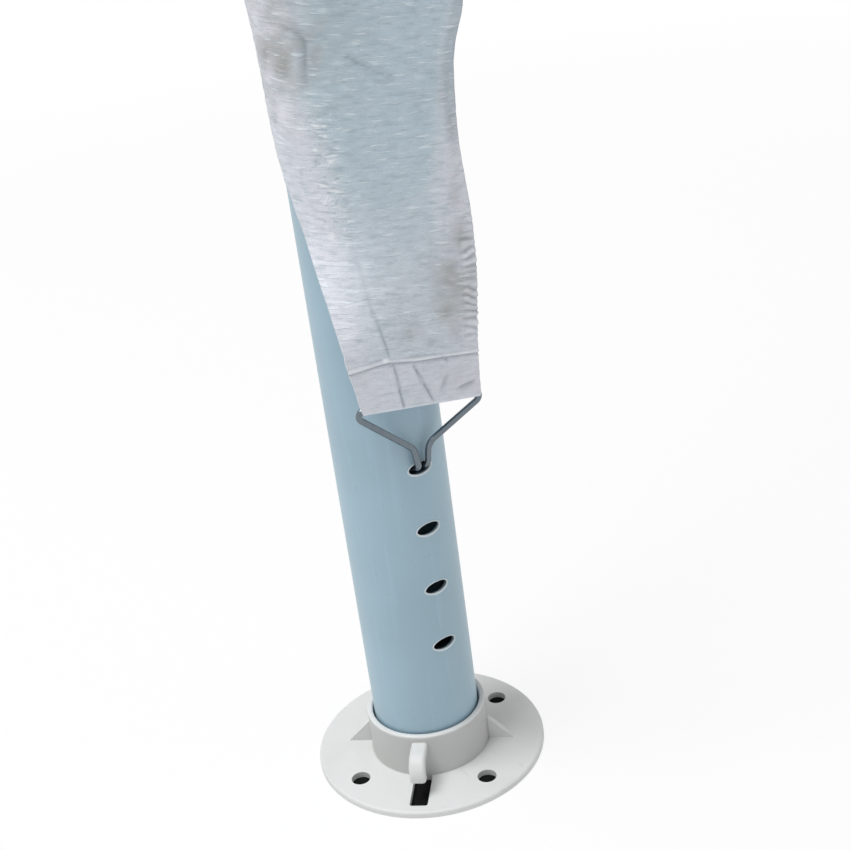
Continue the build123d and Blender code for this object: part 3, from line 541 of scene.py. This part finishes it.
def slub_cloth(sizes):
    """Thin slubbed cloth: streaks across the width, painted show-through of the mast, soiled patches, painted
    shade and highlight.
    """
    cloth, mast_show_through, soiled = sizes.cloth, sizes.mast_show_through, sizes.soiled
    pale, thread = sizes.pale, sizes.thread

    def build(nodes):
        place = nodes.mapped_place("cloth")
        across, along, _ = nodes.split(place)
        marks = nodes.node("ShaderNodeAttribute", {"attribute_name": "marks"}, output="Vector")
        # painted shade; the seam's thread with painted highlight and the gathers' painted highlight; soiled
        # patches
        dark, light, stained = nodes.split(marks)
        slubs = nodes.noise(nodes.mapped(place, (0.26, 1, 1)), 560, 3, 0.6)
        streaks = nodes.noise(nodes.mapped(place, (0.11, 1, 1)), 900, 2, 0.5).between(0.57, 0.67)
        wrinkles = nodes.noise(nodes.mapped(place, (0.20, 1, 1)), 900, 1, 0.4)
        weave = nodes.noise(nodes.mapped(place, (0.6, 1, 1)), 2100, 2, 0.7)
        mottle = nodes.noise(place, 190, 3, 0.6)
        clouds = nodes.noise(place, 46, 4, 0.6)
        # painted show-through of the mast: between the right and left sides, stronger higher up
        right_lean = 6 * MM * along.between(*SHOW_THROUGH_RIGHT_LEANS)
        left_lean = 15 * MM * along.between(*SHOW_THROUGH_LEFT_LEANS)
        right_side = (across + 12 * MM * clouds + right_lean).between(*SHOW_THROUGH_RIGHT)
        left_side = (across + 8 * MM * clouds - left_lean).between(*SHOW_THROUGH_LEFT)
        show_through_up = 0.12 + 0.28 * along.between(*SHOW_THROUGH_OVER_HEM) + 0.60 * along.between(*SHOW_THROUGH_HIGH)
        over_mast = right_side * (1 - left_side) * show_through_up
        above_hem = 0.45 + 0.55 * along.between(*HEM_ENDS)
        # painted shade where the right edge curls back
        curl_shade = (1 - across.between(*CURL_SHADE_ACROSS)) * along.between(*CURL_SHADE_UP)
        wrinkled = across.inside(*WRINKLED_ACROSS) * along.inside(*WRINKLED_UP) * mottle.between(0.46, 0.56)
        layers = [
            (over_mast * 0.9, mast_show_through),  # painted show-through of the mast
            (clouds.between(0.35, 0.70) * 0.20, shaded(mast_show_through, 0.80)),  # faint clouds
            (stained * (0.6 + clouds.between(0.30, 0.60) * 0.4), soiled),  # soiled patches
            (curl_shade * 0.6, shaded(mast_show_through, 0.76)),  # painted shade where the right edge curls back
            ((1 - mottle.between(0.28, 0.50)) * above_hem * 0.22, shaded(mast_show_through, 0.72)),  # mottling
            ((1 - slubs.between(0.30, 0.52)) * above_hem * 0.42, shaded(mast_show_through, 0.66)),  # between slubs
            ((1 - weave.between(0.30, 0.55)) * 0.24, shaded(mast_show_through, 0.70)),  # weave
            (slubs.between(0.54, 0.74) * 0.35, pale),  # slubs
            (streaks * above_hem * 0.50, pale),  # thick cross threads
            (wrinkled * (1 - wrinkles.between(0.34, 0.47)) * 0.5, shaded(mast_show_through, 0.55)),  # painted shade in the wrinkles' hollows
            (wrinkled * wrinkles.between(0.53, 0.64) * 0.7, thread),  # painted highlight on the wrinkles' tops
            (dark * 0.5, shaded(mast_show_through, 0.45)),  # painted shade in the creases, under the seam and between the gathers
            (light * 0.9, thread),  # seam thread, also its painted highlight, and painted highlight on the gathers' tops
        ]
        colours = cloth
        for share, layer in layers:
            colours = nodes.blend(share, colours, layer)
        height = slubs * 0.6 + streaks * 0.4 + weave * 0.4 + wrinkled * wrinkles * 0.8
        return nodes.surface(colours, 0.80 + 0.15 * weave, height, 0.40 * MM)
    constants = {"Sheen Weight": 0.1, "Sheen Roughness": 0.5, "Specular IOR Level": 0.25}
    return finish("slub_cloth", build, constants)


def covered_cord(colour):
    """Plastic covered line: smooth skin over a lay that just shows, with faint dusty patches."""
    def build(nodes):
        along, round_it, _ = nodes.split(nodes.mapped_place("cord"))
        lay = ((along * LAY_ALONG + round_it * LAY_ROUND).sine() + 1) * 0.5
        dust = nodes.noise(nodes.place(), 45, 3)
        colours = nodes.blend(dust.between(0.35, 0.75) * 0.5, colour, shaded(colour, 0.78))
        return nodes.surface(colours, 0.34 + 0.2 * dust, lay, 0.05 * MM)
    return finish("covered_cord", build)


def full_turn(count):
    """Angles evenly spaced over one turn."""
    return np.linspace(0, 2 * math.pi, count, endpoint=False)


def grid_faces(rows, columns, closed_rows=False, closed_columns=False, first=0):
    """Four-sided faces between neighbouring rows and columns of a grid of points."""
    index = first + np.arange(rows * columns).reshape(rows, columns)
    if closed_rows:
        index = np.vstack([index, index[:1]])
    if closed_columns:
        index = np.hstack([index, index[:, :1]])
    corners = [index[:-1, :-1], index[:-1, 1:], index[1:, 1:], index[1:, :-1]]
    return np.stack(corners, axis=-1).reshape(-1, 4).tolist()


def in_scene(name, data):
    """An object in the scene that shows a mesh, light or camera."""
    made = bpy.data.objects.new(name, data)
    bpy.context.scene.collection.objects.link(made)
    return made


def new_object(name, points, faces, material):
    """An object in the scene, with a mesh of these points and faces in one material."""
    mesh = bpy.data.meshes.new(name)
    mesh.from_pydata(points.reshape(-1, 3).tolist(), [], faces)
    mesh.materials.append(material)
    return in_scene(name, mesh)


def add_piece(name, points, faces, material, body, maps=None):
    """A smooth mesh piece that rides on a body. Of its named maps, two values a point make a UV map, and
    three an attribute."""
    piece = new_object(name, points, faces, material)
    mesh = piece.data
    mesh.polygons.foreach_set("use_smooth", np.ones(len(mesh.polygons), bool))
    vertex = np.zeros(len(mesh.loops), int)
    mesh.loops.foreach_get("vertex_index", vertex)
    for map_name, values in (maps or {}).items():
        if values.shape[-1] == 2:
            layer = mesh.uv_layers.new(name=map_name)
            layer.data.foreach_set("uv", values.reshape(-1, 2)[vertex].ravel())
        else:
            attribute = mesh.attributes.new(map_name, "FLOAT_VECTOR", "POINT")
            attribute.data.foreach_set("vector", values.ravel())
    mesh.update()
    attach(piece, body)
    return piece


def tube(path, radius, sides, up, closed=False):
    """Circle of a radius carried along a path: each ring is square to the path, and starts towards up."""
    if closed:
        along = np.roll(path, -1, 0) - np.roll(path, 1, 0)
    else:
        along = np.gradient(path, axis=0)
    along /= np.linalg.norm(along, axis=1, keepdims=True)
    side = np.cross(along, up)
    side /= np.linalg.norm(side, axis=1, keepdims=True)
    top = np.cross(side, along)
    angle = full_turn(sides)[None, :, None]
    return path[:, None] + radius * (np.cos(angle) * top[:, None] + np.sin(angle) * side[:, None])


def path_length(path):
    """Distance from the path's start to each of its points, added up over its straight steps."""
    steps = np.linalg.norm(np.diff(path, axis=0), axis=-1)
    return np.concatenate([0 * steps[:1], np.cumsum(steps, axis=0)])


def smooth_step(value, low, high):
    """0 below low, 1 above high, and a smooth step between."""
    share = np.clip((value - low) / (high - low), 0, 1)
    return share * share * (3 - 2 * share)


def eased(stations, values, at):
    """Straight runs between the stations, softened by averaging over a width each way."""
    shifts = np.linspace(-EDGE_SOFTNESS, EDGE_SOFTNESS, EASE_SAMPLES)
    return np.mean([np.interp(at + shift, stations, values) for shift in shifts], axis=0)


def ridge(distance, width):
    """A rounded ridge of height 1 on the line where distance is 0."""
    return np.exp(-(distance / width) ** 2)


def soft_noise(across, along, cell, seed):
    """Smooth noise from -1 to 1: random heights on a lattice of a cell's size, joined by smooth steps."""
    heights = np.random.default_rng(seed).uniform(-1, 1, (LATTICE + 1, LATTICE + 1))
    u, v = across / cell[0], along / cell[1]
    i, j = np.floor(u).astype(int), np.floor(v).astype(int)
    a, b = smooth_step(u - i, 0, 1), smooth_step(v - j, 0, 1)
    i, j = i % LATTICE, j % LATTICE
    low = heights[i, j] * (1 - a) + heights[i + 1, j] * a
    high = heights[i, j + 1] * (1 - a) + heights[i + 1, j + 1] * a
    return low * (1 - b) + high * b


def cover_rows():
    """Rows of the cloth from its top edge down the front, under the bail's crossbar and up behind to the
    seam: each row's height, its distance out in front for the flat form, and its place along the cloth.
    The number of rows on the front comes last."""
    top = PEG_HEIGHT + COVER_ABOVE_PEG
    bar = HEM_AXIS.z
    starts = np.array([top, *(bar + COVER_STRETCHES[:-1])])
    stretches = zip(starts, bar + COVER_STRETCHES, COVER_STEPS)
    front = [np.linspace(high, low, int((high - low) / step), endpoint=False)
             for high, low, step in stretches]
    front = np.concatenate([*front, [bar]])
    turn = np.linspace(0, math.pi, SLEEVE_STEPS + 2)[1:-1]
    behind = np.linspace(bar, bar + SEAM_HEIGHT, int(SEAM_HEIGHT / BACK_STEP))
    bar_out = -HEM_AXIS.y
    height = np.concatenate([front, bar - SLEEVE_RADIUS * np.sin(turn), behind])
    outer, inner = bar_out + SLEEVE_RADIUS, bar_out - SLEEVE_RADIUS
    flat = outer + (FRONT_OUT - outer) * smooth_step(front, bar, bar + SEAM_HEIGHT)
    flat += (TOP_OUT - FRONT_OUT) * smooth_step(front, *WRAP_ENDS)
    back = inner + (FRONT_OUT - SLEEVE_GAP - inner) * smooth_step(behind, bar, bar + SLEEVE_CLOSES)
    out = np.concatenate([flat, bar_out + SLEEVE_RADIUS * np.cos(turn), back])
    return height, out, path_length(np.stack([height, out], axis=-1)), len(front)


def cover_surface(height, out, front_rows):
    """Cloth's middle surface. Flat form: a straight row from the right edge to the left. Wrapped form: a
    straight run from the right edge to where it touches the mast, then round the mast. A share blends the
    two."""
    height = height[:, None]
    share = np.linspace(0, 1, COVER_COLUMNS)[None, :]
    right, left, last = (eased(EDGE_HEIGHT, edge, height) for edge in (EDGE_RIGHT, EDGE_LEFT, EDGE_TURN))
    left[front_rows:, 0] += SLEEVE_INSET * smooth_step(np.arange(len(height) - front_rows), 0, SLEEVE_STEPS)
    radius = eased(WRAP_RADIUS_HEIGHT, WRAP_RADIUS, height)
    flat_x = right + (left - right) * share
    flat_y = np.broadcast_to(-out[:, None], flat_x.shape)

    reach = np.hypot(right, FRONT_OUT)
    run = np.sqrt(reach ** 2 - radius ** 2)
    touch = np.arctan2(right, FRONT_OUT) - np.arccos(radius / reach)
    travelled = share * (run + radius * (touch - last))
    on_run = np.clip(travelled / run, 0, 1)
    azimuth = touch - np.clip(travelled - run, 0, None) / radius
    round_x, round_y = radius * np.sin(azimuth), -radius * np.cos(azimuth)
    wrapped_x = np.where(on_run < 1, right + (round_x - right) * on_run, round_x)
    wrapped_y = np.where(on_run < 1, -FRONT_OUT + (round_y + FRONT_OUT) * on_run, round_y)

    wrap = smooth_step(height, *WRAP_STARTS) * (1 - smooth_step(height, *WRAP_ENDS))
    x = flat_x + (wrapped_x - flat_x) * wrap
    y = flat_y + (wrapped_y - flat_y) * wrap
    z = height + x * HEM_SLOPE * (1 - smooth_step(height, *TILT_FADES))
    return np.stack([x, y, z], axis=-1)


def pressed_creases(across, up):
    """Pressed lines that fade out past their ends: the grooves, of depth 1 or less, and the rounded ridge
    that each throws up on its left."""
    grooves, ridges = np.zeros(across.shape), np.zeros(across.shape)
    for *ends, depth, width in CREASES:
        start, end = np.reshape(ends, (2, 2))
        length = np.linalg.norm(end - start)
        run = (end - start) / length
        along = ((across - start[0]) * run[0] + (up - start[1]) * run[1]) / width
        beside = np.sign(run[1]) * ((across - start[0]) * run[1] - (up - start[1]) * run[0]) / width
        past_end = along - length / width
        shown = depth * smooth_step(along, *CREASE_FADES) * (1 - smooth_step(past_end, *CREASE_FADES))
        grooves += shown * ridge(beside, 1)
        ridges += shown * ridge(beside - CREASE_RIDGE[0], CREASE_RIDGE[1])
    return grooves, ridges


def hem_seam(across, up):
    """Seams of both hems: the rounded ridge of the thread, and the groove below it. On the lower seam a knot
    ties off the thread."""
    over = up - np.interp(across, SEAM_ACROSS, SEAM_UP)
    over_top = up - (PEG_HEIGHT + COVER_ABOVE_PEG - TOP_HEM - HEM_AXIS.z)
    knot = ridge(across - SEAM_KNOT, KNOT_SIZE[0]) * ridge(over - KNOT_RISE, KNOT_SIZE[1])
    tight = 0.75 + 0.25 * soft_noise(across, up, *UNEVEN_TIGHTNESS)
    thread = ridge(over, SEAM_WIDTH) * tight + knot
    thread += TOP_SEAM_SHARE * ridge(over_top, TOP_SEAM_WIDTH)
    groove = ridge(over + SEAM_GROOVE[0], SEAM_GROOVE[1])
    groove += TOP_SEAM_SHARE * ridge(over_top + TOP_SEAM_GROOVE[0], TOP_SEAM_GROOVE[1])
    return thread, groove


def gathers(across, up):
    """Small gathers along the right edge above the hem, from -1 to 1: uneven waves that wander."""
    wander = PUCKER_WANDER * soft_noise(across, up, *UNEVEN_WANDER)
    uneven = 0.6 + 0.4 * soft_noise(across, up, *UNEVEN_GATHERS)
    waves = uneven * np.sin(2 * math.pi * up / PUCKER_PITCH + wander)
    low_edge = smooth_step(up - SEAM_HEIGHT, *PUCKER_BEGINS) * (1 - smooth_step(up, *PUCKER_ENDS))
    return waves * low_edge * (1 - smooth_step(across, 0.55 * PUCKER_REACH, 1.2 * PUCKER_REACH))


def cover_marks(across, up):
    """Three shares a point: painted shade in the creases, under the seam, between the gathers and where they
    end; the seam's pale thread, also its painted highlight, and painted highlight on the gathers' tops; and soiled
    patches."""
    grooves, _ = pressed_creases(across, up)
    thread, under_thread = hem_seam(across, up)
    gathered = gathers(across, up)
    inner_end = ridge(across - PUCKER_REACH, PUCKER_END) * (np.abs(gathered) > 0.12)
    # painted shade: creases, under the seam, the gathers' hollows and the line where they end
    dark = grooves + 0.7 * under_thread + 0.7 * np.clip(-gathered, 0, 1) + 0.3 * inner_end
    # the seam's thread, also its painted highlight, and painted highlight on the gathers' tops
    pale = thread + 0.7 * np.clip(gathered, 0, 1)
    blotch = 0.75 + 0.5 * soft_noise(across, up, *UNEVEN_SOILING)
    stained = np.zeros(across.shape)
    for centre_across, centre_up, half_width, half_height, strength in STAINS:
        from_centre = np.hypot((across - centre_across) / half_width, (up - centre_up) / half_height)
        stained = np.maximum(stained, strength * ridge(from_centre, 0.8))
    return np.clip(np.stack([dark, pale, stained * blotch], axis=-1), 0, 1)


def weft_place(across, up):
    """Place along the cover counted square to the cross threads, which run askew higher up."""
    return up - WEFT_SKEW * across * smooth_step(up, *WEFT_SKEWS)


def cover_relief(across, height, sizes):
    """How far the cloth stands out from its middle surface: pressed creases, the hem's seam, gathers,
    slubs, slack waves and the right edge curling back."""
    up = np.broadcast_to(height[:, None] - HEM_AXIS.z, across.shape)
    weft = weft_place(across, up)
    thread, under_thread = hem_seam(across, up)
    grooves, ridges = pressed_creases(across, up)
    relief = sizes.seam * (thread - 0.8 * under_thread) + sizes.crease * (0.7 * ridges - grooves)

    above_seam = smooth_step(up, SEAM_HEIGHT, SEAM_HEIGHT + LOOSE_BEGINS)
    fine = soft_noise(across, weft, *FINE_SLUBS)
    slub = soft_noise(across, weft, *SLUBS)
    relief += sizes.pucker * (0.75 * gathers(across, up) + 0.12 * fine * above_seam + 0.2 * slub)
    slack = 0.5 + 0.5 * soft_noise(across, up, *SLACK_WAVES)
    relief += sizes.slack * slack * above_seam * smooth_step(across, 0, SLACK_BEGINS)
    curl = (1 - smooth_step(across, 0, CURL_REACH)) * smooth_step(up, *CURL_RISES)
    return relief - sizes.curl * curl


class CLOTHESLINE_OT_finishes(bpy.types.Operator):
    """Give every rigid CAD node the finish of its material slot"""

    bl_idname = "clothesline.finishes"
    bl_label = "Finishes"

    def execute(self, context):
        colours = context.scene.clothesline_finishes
        plain = {
            # the flange's collar wall gets painted shade
            "flange_white": moulded_plastic(
                "flange_white", colours.flange, FLANGE_DUST_AND_SHADE, grain=2300, roughness=0.42,
                wall=(COLLAR_RADIUS, COLLAR_TOP)),
            "mast_paint": mast_paint("mast_paint", colours.mast),
            "grey_plastic": moulded_plastic(
                "grey_plastic", colours.fittings, FITTINGS_SOILING, grain=1500, roughness=0.46),
            "bush_nylon": moulded_plastic(
                "bush_nylon", colours.bush, BUSH_SOILING, grain=1800, roughness=0.40),
            "steel": plated_steel("zinc_plate", colours.zinc, roughness=0.26),
        }
        special = {"tension_bail": plated_steel("bail_wire", colours.wire, roughness=0.20)}
        for number, pivot in ARM_PIVOTS.items():
            azimuth = math.atan2(pivot.y, pivot.x)
            special[f"arm_tube_{number}"] = brushed_tube(f"arm_tube_{number}", colours.tube, azimuth)
        for subpart in frame["record"]["subparts"]:
            material = special.get(subpart["node"]) or plain.get(subpart["material_slot"])
            if material:
                node = frame["nodes"][subpart["node"]]
                node.data.materials.clear()
                node.data.materials.append(material)
        return {"FINISHED"}


class CLOTHESLINE_OT_cover(bpy.types.Operator):
    """Hang the storage cover from its peg and hook its hem on the bail"""

    bl_idname = "clothesline.cover"
    bl_label = "Storage cover"

    def execute(self, context):
        sizes = context.scene.clothesline_cover
        height, out, length, front_rows = cover_rows()
        points = cover_surface(height, out, front_rows)
        across = path_length(points.swapaxes(0, 1)).T
        outward = np.cross(np.gradient(points, axis=1), np.gradient(points, axis=0))
        outward /= np.linalg.norm(outward, axis=-1, keepdims=True)
        relief = cover_relief(across, height, sizes)
        relief[front_rows:] = 0
        points = points + outward * relief[..., None]

        along = np.broadcast_to((length[front_rows - 1] - length)[:, None], across.shape)
        weft = weft_place(across, along)
        maps = {"cloth": np.stack([across, weft], axis=-1), "marks": cover_marks(across, along)}
        faces = grid_faces(*across.shape)
        cloth = slub_cloth(sizes)
        cover = add_piece("storage_cover_cloth", points, faces, cloth, "mast", maps)
        wall = cover.modifiers.new("thickness", "SOLIDIFY")
        wall.thickness = sizes.thickness
        wall.offset = 0
        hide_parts("storage_cover")

        return {"FINISHED"}


class CLOTHESLINE_OT_eyelet(bpy.types.Operator):
    """Set the metal eyelet round the cover's peg"""

    bl_idname = "clothesline.eyelet"
    bl_label = "Cover eyelet"

    def execute(self, context):
        colour = context.scene.clothesline_finishes.zinc
        turn = full_turn(EYELET_SIDES)[:, None]
        roll = full_turn(EYELET_ROLL_SIDES)[None, :]
        middle = (EYELET_INNER + EYELET_OUTER) / 2
        radius = middle + (EYELET_OUTER - EYELET_INNER) / 2 * np.cos(roll)
        out = TOP_OUT + EYELET_HEIGHT * np.sin(roll)
        x = radius * np.cos(turn)
        z = PEG_HEIGHT + radius * np.sin(turn)
        points = np.stack([x, np.broadcast_to(-out, x.shape), z], axis=-1)
        faces = grid_faces(*x.shape, closed_rows=True, closed_columns=True)
        eyelet = plated_steel("eyelet_zinc", colour, roughness=0.24)
        add_piece("cover_eyelet", points, faces, eyelet, "mast")
        return {"FINISHED"}


class CLOTHESLINE_OT_slot_rims(bpy.types.Operator):
    """Round the edge of each slot in the mast, in paler paint as a painted highlight"""

    bl_idname = "clothesline.slot_rims"
    bl_label = "Slot rims"

    def execute(self, context):
        colour = context.scene.clothesline_finishes.rim_highlight
        turn = full_turn(RIM_POINTS)
        x = (SLOT_HALF_WIDTH + RIM_OUTSET) * np.cos(turn)
        z = (SLOT_HALF_HEIGHT + RIM_OUTSET) * np.sin(turn)
        bead = RIM_BEAD * (1 - RIM_SWELL * np.sin(turn))[:, None, None]
        points, faces = [], []
        for height in SLOT_HEIGHTS:
            path = np.stack([x, -np.sqrt(MAST_RADIUS ** 2 - x ** 2), z + height], axis=-1)
            outward = path * (1, 1, 0) / MAST_RADIUS
            faces += grid_faces(len(path), RIM_SIDES, True, True, RIM_SIDES * len(path) * len(points))
            points.append(tube(path, bead, RIM_SIDES, outward, closed=True))
        # painted highlight on each slot's rounded edge
        rim_highlight = mast_paint("slot_rim_highlight", colour)
        add_piece("mast_slot_rims", np.array(points), faces, rim_highlight, "mast")
        return {"FINISHED"}


class CLOTHESLINE_OT_line(bpy.types.Operator):
    """String the line: from each arm, five loops run to the middle of the sides on its left and right"""

    bl_idname = "clothesline.line"
    bl_label = "Strung line"

    def execute(self, context):
        sizes = context.scene.clothesline_line
        cord = covered_cord(sizes.colour)
        for number, pivot in ARM_PIVOTS.items():
            for side in (1, -1):
                self.leg(number, pivot, side, sizes, cord)
        return {"FINISHED"}

    def leg(self, number, pivot, side, sizes, cord):
        """Half of each loop's side next to one arm: round the peg's outside, then straight to the middle of
        the side, with a parabola's sag."""
        azimuth = math.atan2(pivot.y, pivot.x)
        outward = np.array([math.cos(azimuth), math.sin(azimuth), 0])
        turned = azimuth - side * SIDE_TURN
        run = np.array([math.cos(turned), math.sin(turned), 0])
        square = outward - run * (outward @ run)
        square /= np.linalg.norm(square)
        up = np.array([0, 0, 1.0])
        arm = outward * math.cos(ARM_RISE) + up * math.sin(ARM_RISE)
        anchor = np.array(pivot) + up * LOOP_OVER_ARM
        points, faces, places = [], [], []
        for loop in range(LOOP_COUNT):
            peg = anchor + arm * (LOOP_FIRST + LOOP_STEP * loop)
            half_side = -(peg @ run)
            bend = np.linspace(CORNER_TURN, 0, BEND_POINTS, endpoint=False)[:, None]
            corner = peg + LOOP_BEND * (np.cos(bend) * square - np.sin(bend) * run)
            share = np.linspace(0, 1, LEG_POINTS)[:, None]
            drop = sizes.sag * (1 - (1 - share) ** 2)
            straight = peg + LOOP_BEND * square + run * half_side * share - up * drop
            path = np.concatenate([corner, straight])
            first = len(points) * len(path) * CORD_SIDES
            faces += grid_faces(len(path), CORD_SIDES, closed_columns=True, first=first)
            ends = np.arange(CORD_SIDES)
            faces += [(first + ends[::-1]).tolist(), (first + (len(path) - 1) * CORD_SIDES + ends).tolist()]
            points.append(tube(path, sizes.radius, CORD_SIDES, up))
            round_it = np.arange(CORD_SIDES) * 2 * math.pi * sizes.radius / CORD_SIDES
            places.append(np.stack(np.meshgrid(path_length(path), round_it, indexing="ij"), axis=-1))
        name = f"line_{number}_{'left' if side > 0 else 'right'}"
        maps = {"cord": np.array(places)}
        piece = add_piece(name, np.array(points), faces, cord, f"arm_{number}", maps)
        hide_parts(f"line_{number}")
        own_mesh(piece)


class CLOTHESLINE_OT_stage(bpy.types.Operator):
    """Lay the pale floor, set the soft lights and place the camera"""

    bl_idname = "clothesline.stage"
    bl_label = "Studio"

    def execute(self, context):
        sizes = context.scene.clothesline_stage
        self.floor()
        self.world(context.scene, sizes.ambient)
        forward = Vector(sizes.camera_forward).normalized()
        level = forward.cross(Vector((0, 0, 1))).normalized()
        for name, offset, power in (("key", KEY_OFFSET, sizes.key), ("fill", FILL_OFFSET, sizes.fill)):
            right, toward, up = offset
            place = LIGHT_TARGET + level * right - forward * toward + Vector((0, 0, up))
            self.light(name, place, power)
        self.camera(context.scene, sizes, forward, level)
        context.scene.view_settings.view_transform = "Standard"
        return {"FINISHED"}

    def floor(self):
        """A wide level plane a hair under the flange, white to the camera, that keeps the shadow. Under the
        flange, where no light comes, it has painted shade, nearly black and without the white glow, so that the
        flange's holes look shaded."""
        reach = np.linspace(-FLOOR_REACH, FLOOR_REACH, FLOOR_POINTS)
        x, y = np.meshgrid(reach, reach)
        points = np.stack([x, y, np.full(x.shape, -FLOOR_DROP)], axis=-1)
        material = bpy.data.materials.new("floor_pale")
        material.use_nodes = True
        nodes = Nodes(material.node_tree)
        from_axis = nodes.length(nodes.place())
        open_floor = from_axis.between(*(FLANGE_RADIUS * share for share in FLOOR_OPENS))
        # painted shade under the flange, pale floor beyond it
        pale = nodes.blend(open_floor, FLOOR_PAINTED_SHADE, FLOOR_PALE)
        matt = nodes.node("ShaderNodeBsdfDiffuse", inputs={"Color": pale})
        glow = nodes.node("ShaderNodeEmission", inputs={"Color": WHITE, "Strength": 1.0})
        white = FLOOR_GLOW + (1 - FLOOR_GLOW) * from_axis.between(*FLOOR_WHITENS)
        share = nodes.seen() * open_floor * white
        both = nodes.node("ShaderNodeMixShader", inputs={0: share, 1: matt, 2: glow})
        nodes.node("ShaderNodeOutputMaterial", inputs={"Surface": both})
        new_object("floor", points, grid_faces(*x.shape), material)

    def world(self, scene, ambient):
        """Even light from all round, white where the camera or a reflection sees it."""
        scene.world = bpy.data.worlds.new("studio")
        scene.world.use_nodes = True
        nodes = Nodes(scene.world.node_tree)
        even = nodes.node("ShaderNodeBackground", inputs={"Color": WHITE, "Strength": ambient})
        white = nodes.node("ShaderNodeBackground", inputs={"Color": WHITE, "Strength": 1.0})
        both = nodes.node("ShaderNodeMixShader", inputs={0: nodes.seen(), 1: even, 2: white})
        nodes.node("ShaderNodeOutputWorld", inputs={"Surface": both})

    def light(self, name, place, power):
        """A large square light that faces the target."""
        data = bpy.data.lights.new(name, "AREA")
        data.size = LIGHT_SIZE
        data.energy = power
        lamp = in_scene(name, data)
        lamp.location = place
        lamp.rotation_euler = (LIGHT_TARGET - place).to_track_quat("-Z", "Y").to_euler()

    def camera(self, scene, sizes, forward, level):
        """A camera that looks forward, turned about its line of sight by the roll."""
        data = bpy.data.cameras.new("camera")
        data.sensor_width = SENSOR_WIDTH
        data.lens = sizes.lens
        data.clip_start = CLIP_START
        upright = level.cross(forward)
        right = level * math.cos(sizes.camera_roll) + upright * math.sin(sizes.camera_roll)
        up = right.cross(forward)
        turned = Matrix((right, up, -forward)).transposed().to_4x4()
        scene.camera = in_scene("camera", data)
        scene.camera.matrix_world = Matrix.Translation(sizes.camera_place) @ turned


class CLOTHESLINE_PT_sidebar(bpy.types.Panel):
    """Lists the clothesline's steps and sizes"""

    bl_idname = "CLOTHESLINE_PT_sidebar"
    bl_label = "Clothesline"
    bl_space_type = "VIEW_3D"
    bl_region_type = "UI"
    bl_category = "Clothesline"

    def draw(self, context):
        for operator in OPERATORS:
            self.layout.operator(operator.bl_idname)
        for attribute, group in GROUPS.items():
            box = self.layout.box()
            box.label(text=group.__doc__)
            for name in group.__annotations__:
                box.prop(getattr(context.scene, attribute), name)


GROUPS = {
    "clothesline_cover": CoverSizes,
    "clothesline_line": LineSizes,
    "clothesline_finishes": FinishColours,
    "clothesline_stage": StageSizes,
}
OPERATORS = (
    CLOTHESLINE_OT_finishes,
    CLOTHESLINE_OT_cover,
    CLOTHESLINE_OT_eyelet,
    CLOTHESLINE_OT_slot_rims,
    CLOTHESLINE_OT_line,
    CLOTHESLINE_OT_stage,
)
CLASSES = (*GROUPS.values(), *OPERATORS, CLOTHESLINE_PT_sidebar)


def register():
    for each in CLASSES:
        bpy.utils.register_class(each)
    for attribute, group in GROUPS.items():
        setattr(bpy.types.Scene, attribute, PointerProperty(type=group))


def unregister():
    for attribute in GROUPS:
        delattr(bpy.types.Scene, attribute)
    for each in reversed(CLASSES):
        bpy.utils.unregister_class(each)


def main():
    register()
    for operator in OPERATORS:
        area, name = operator.bl_idname.split(".")
        getattr(getattr(bpy.ops, area), name)()


if __name__ == "__main__":
    main()
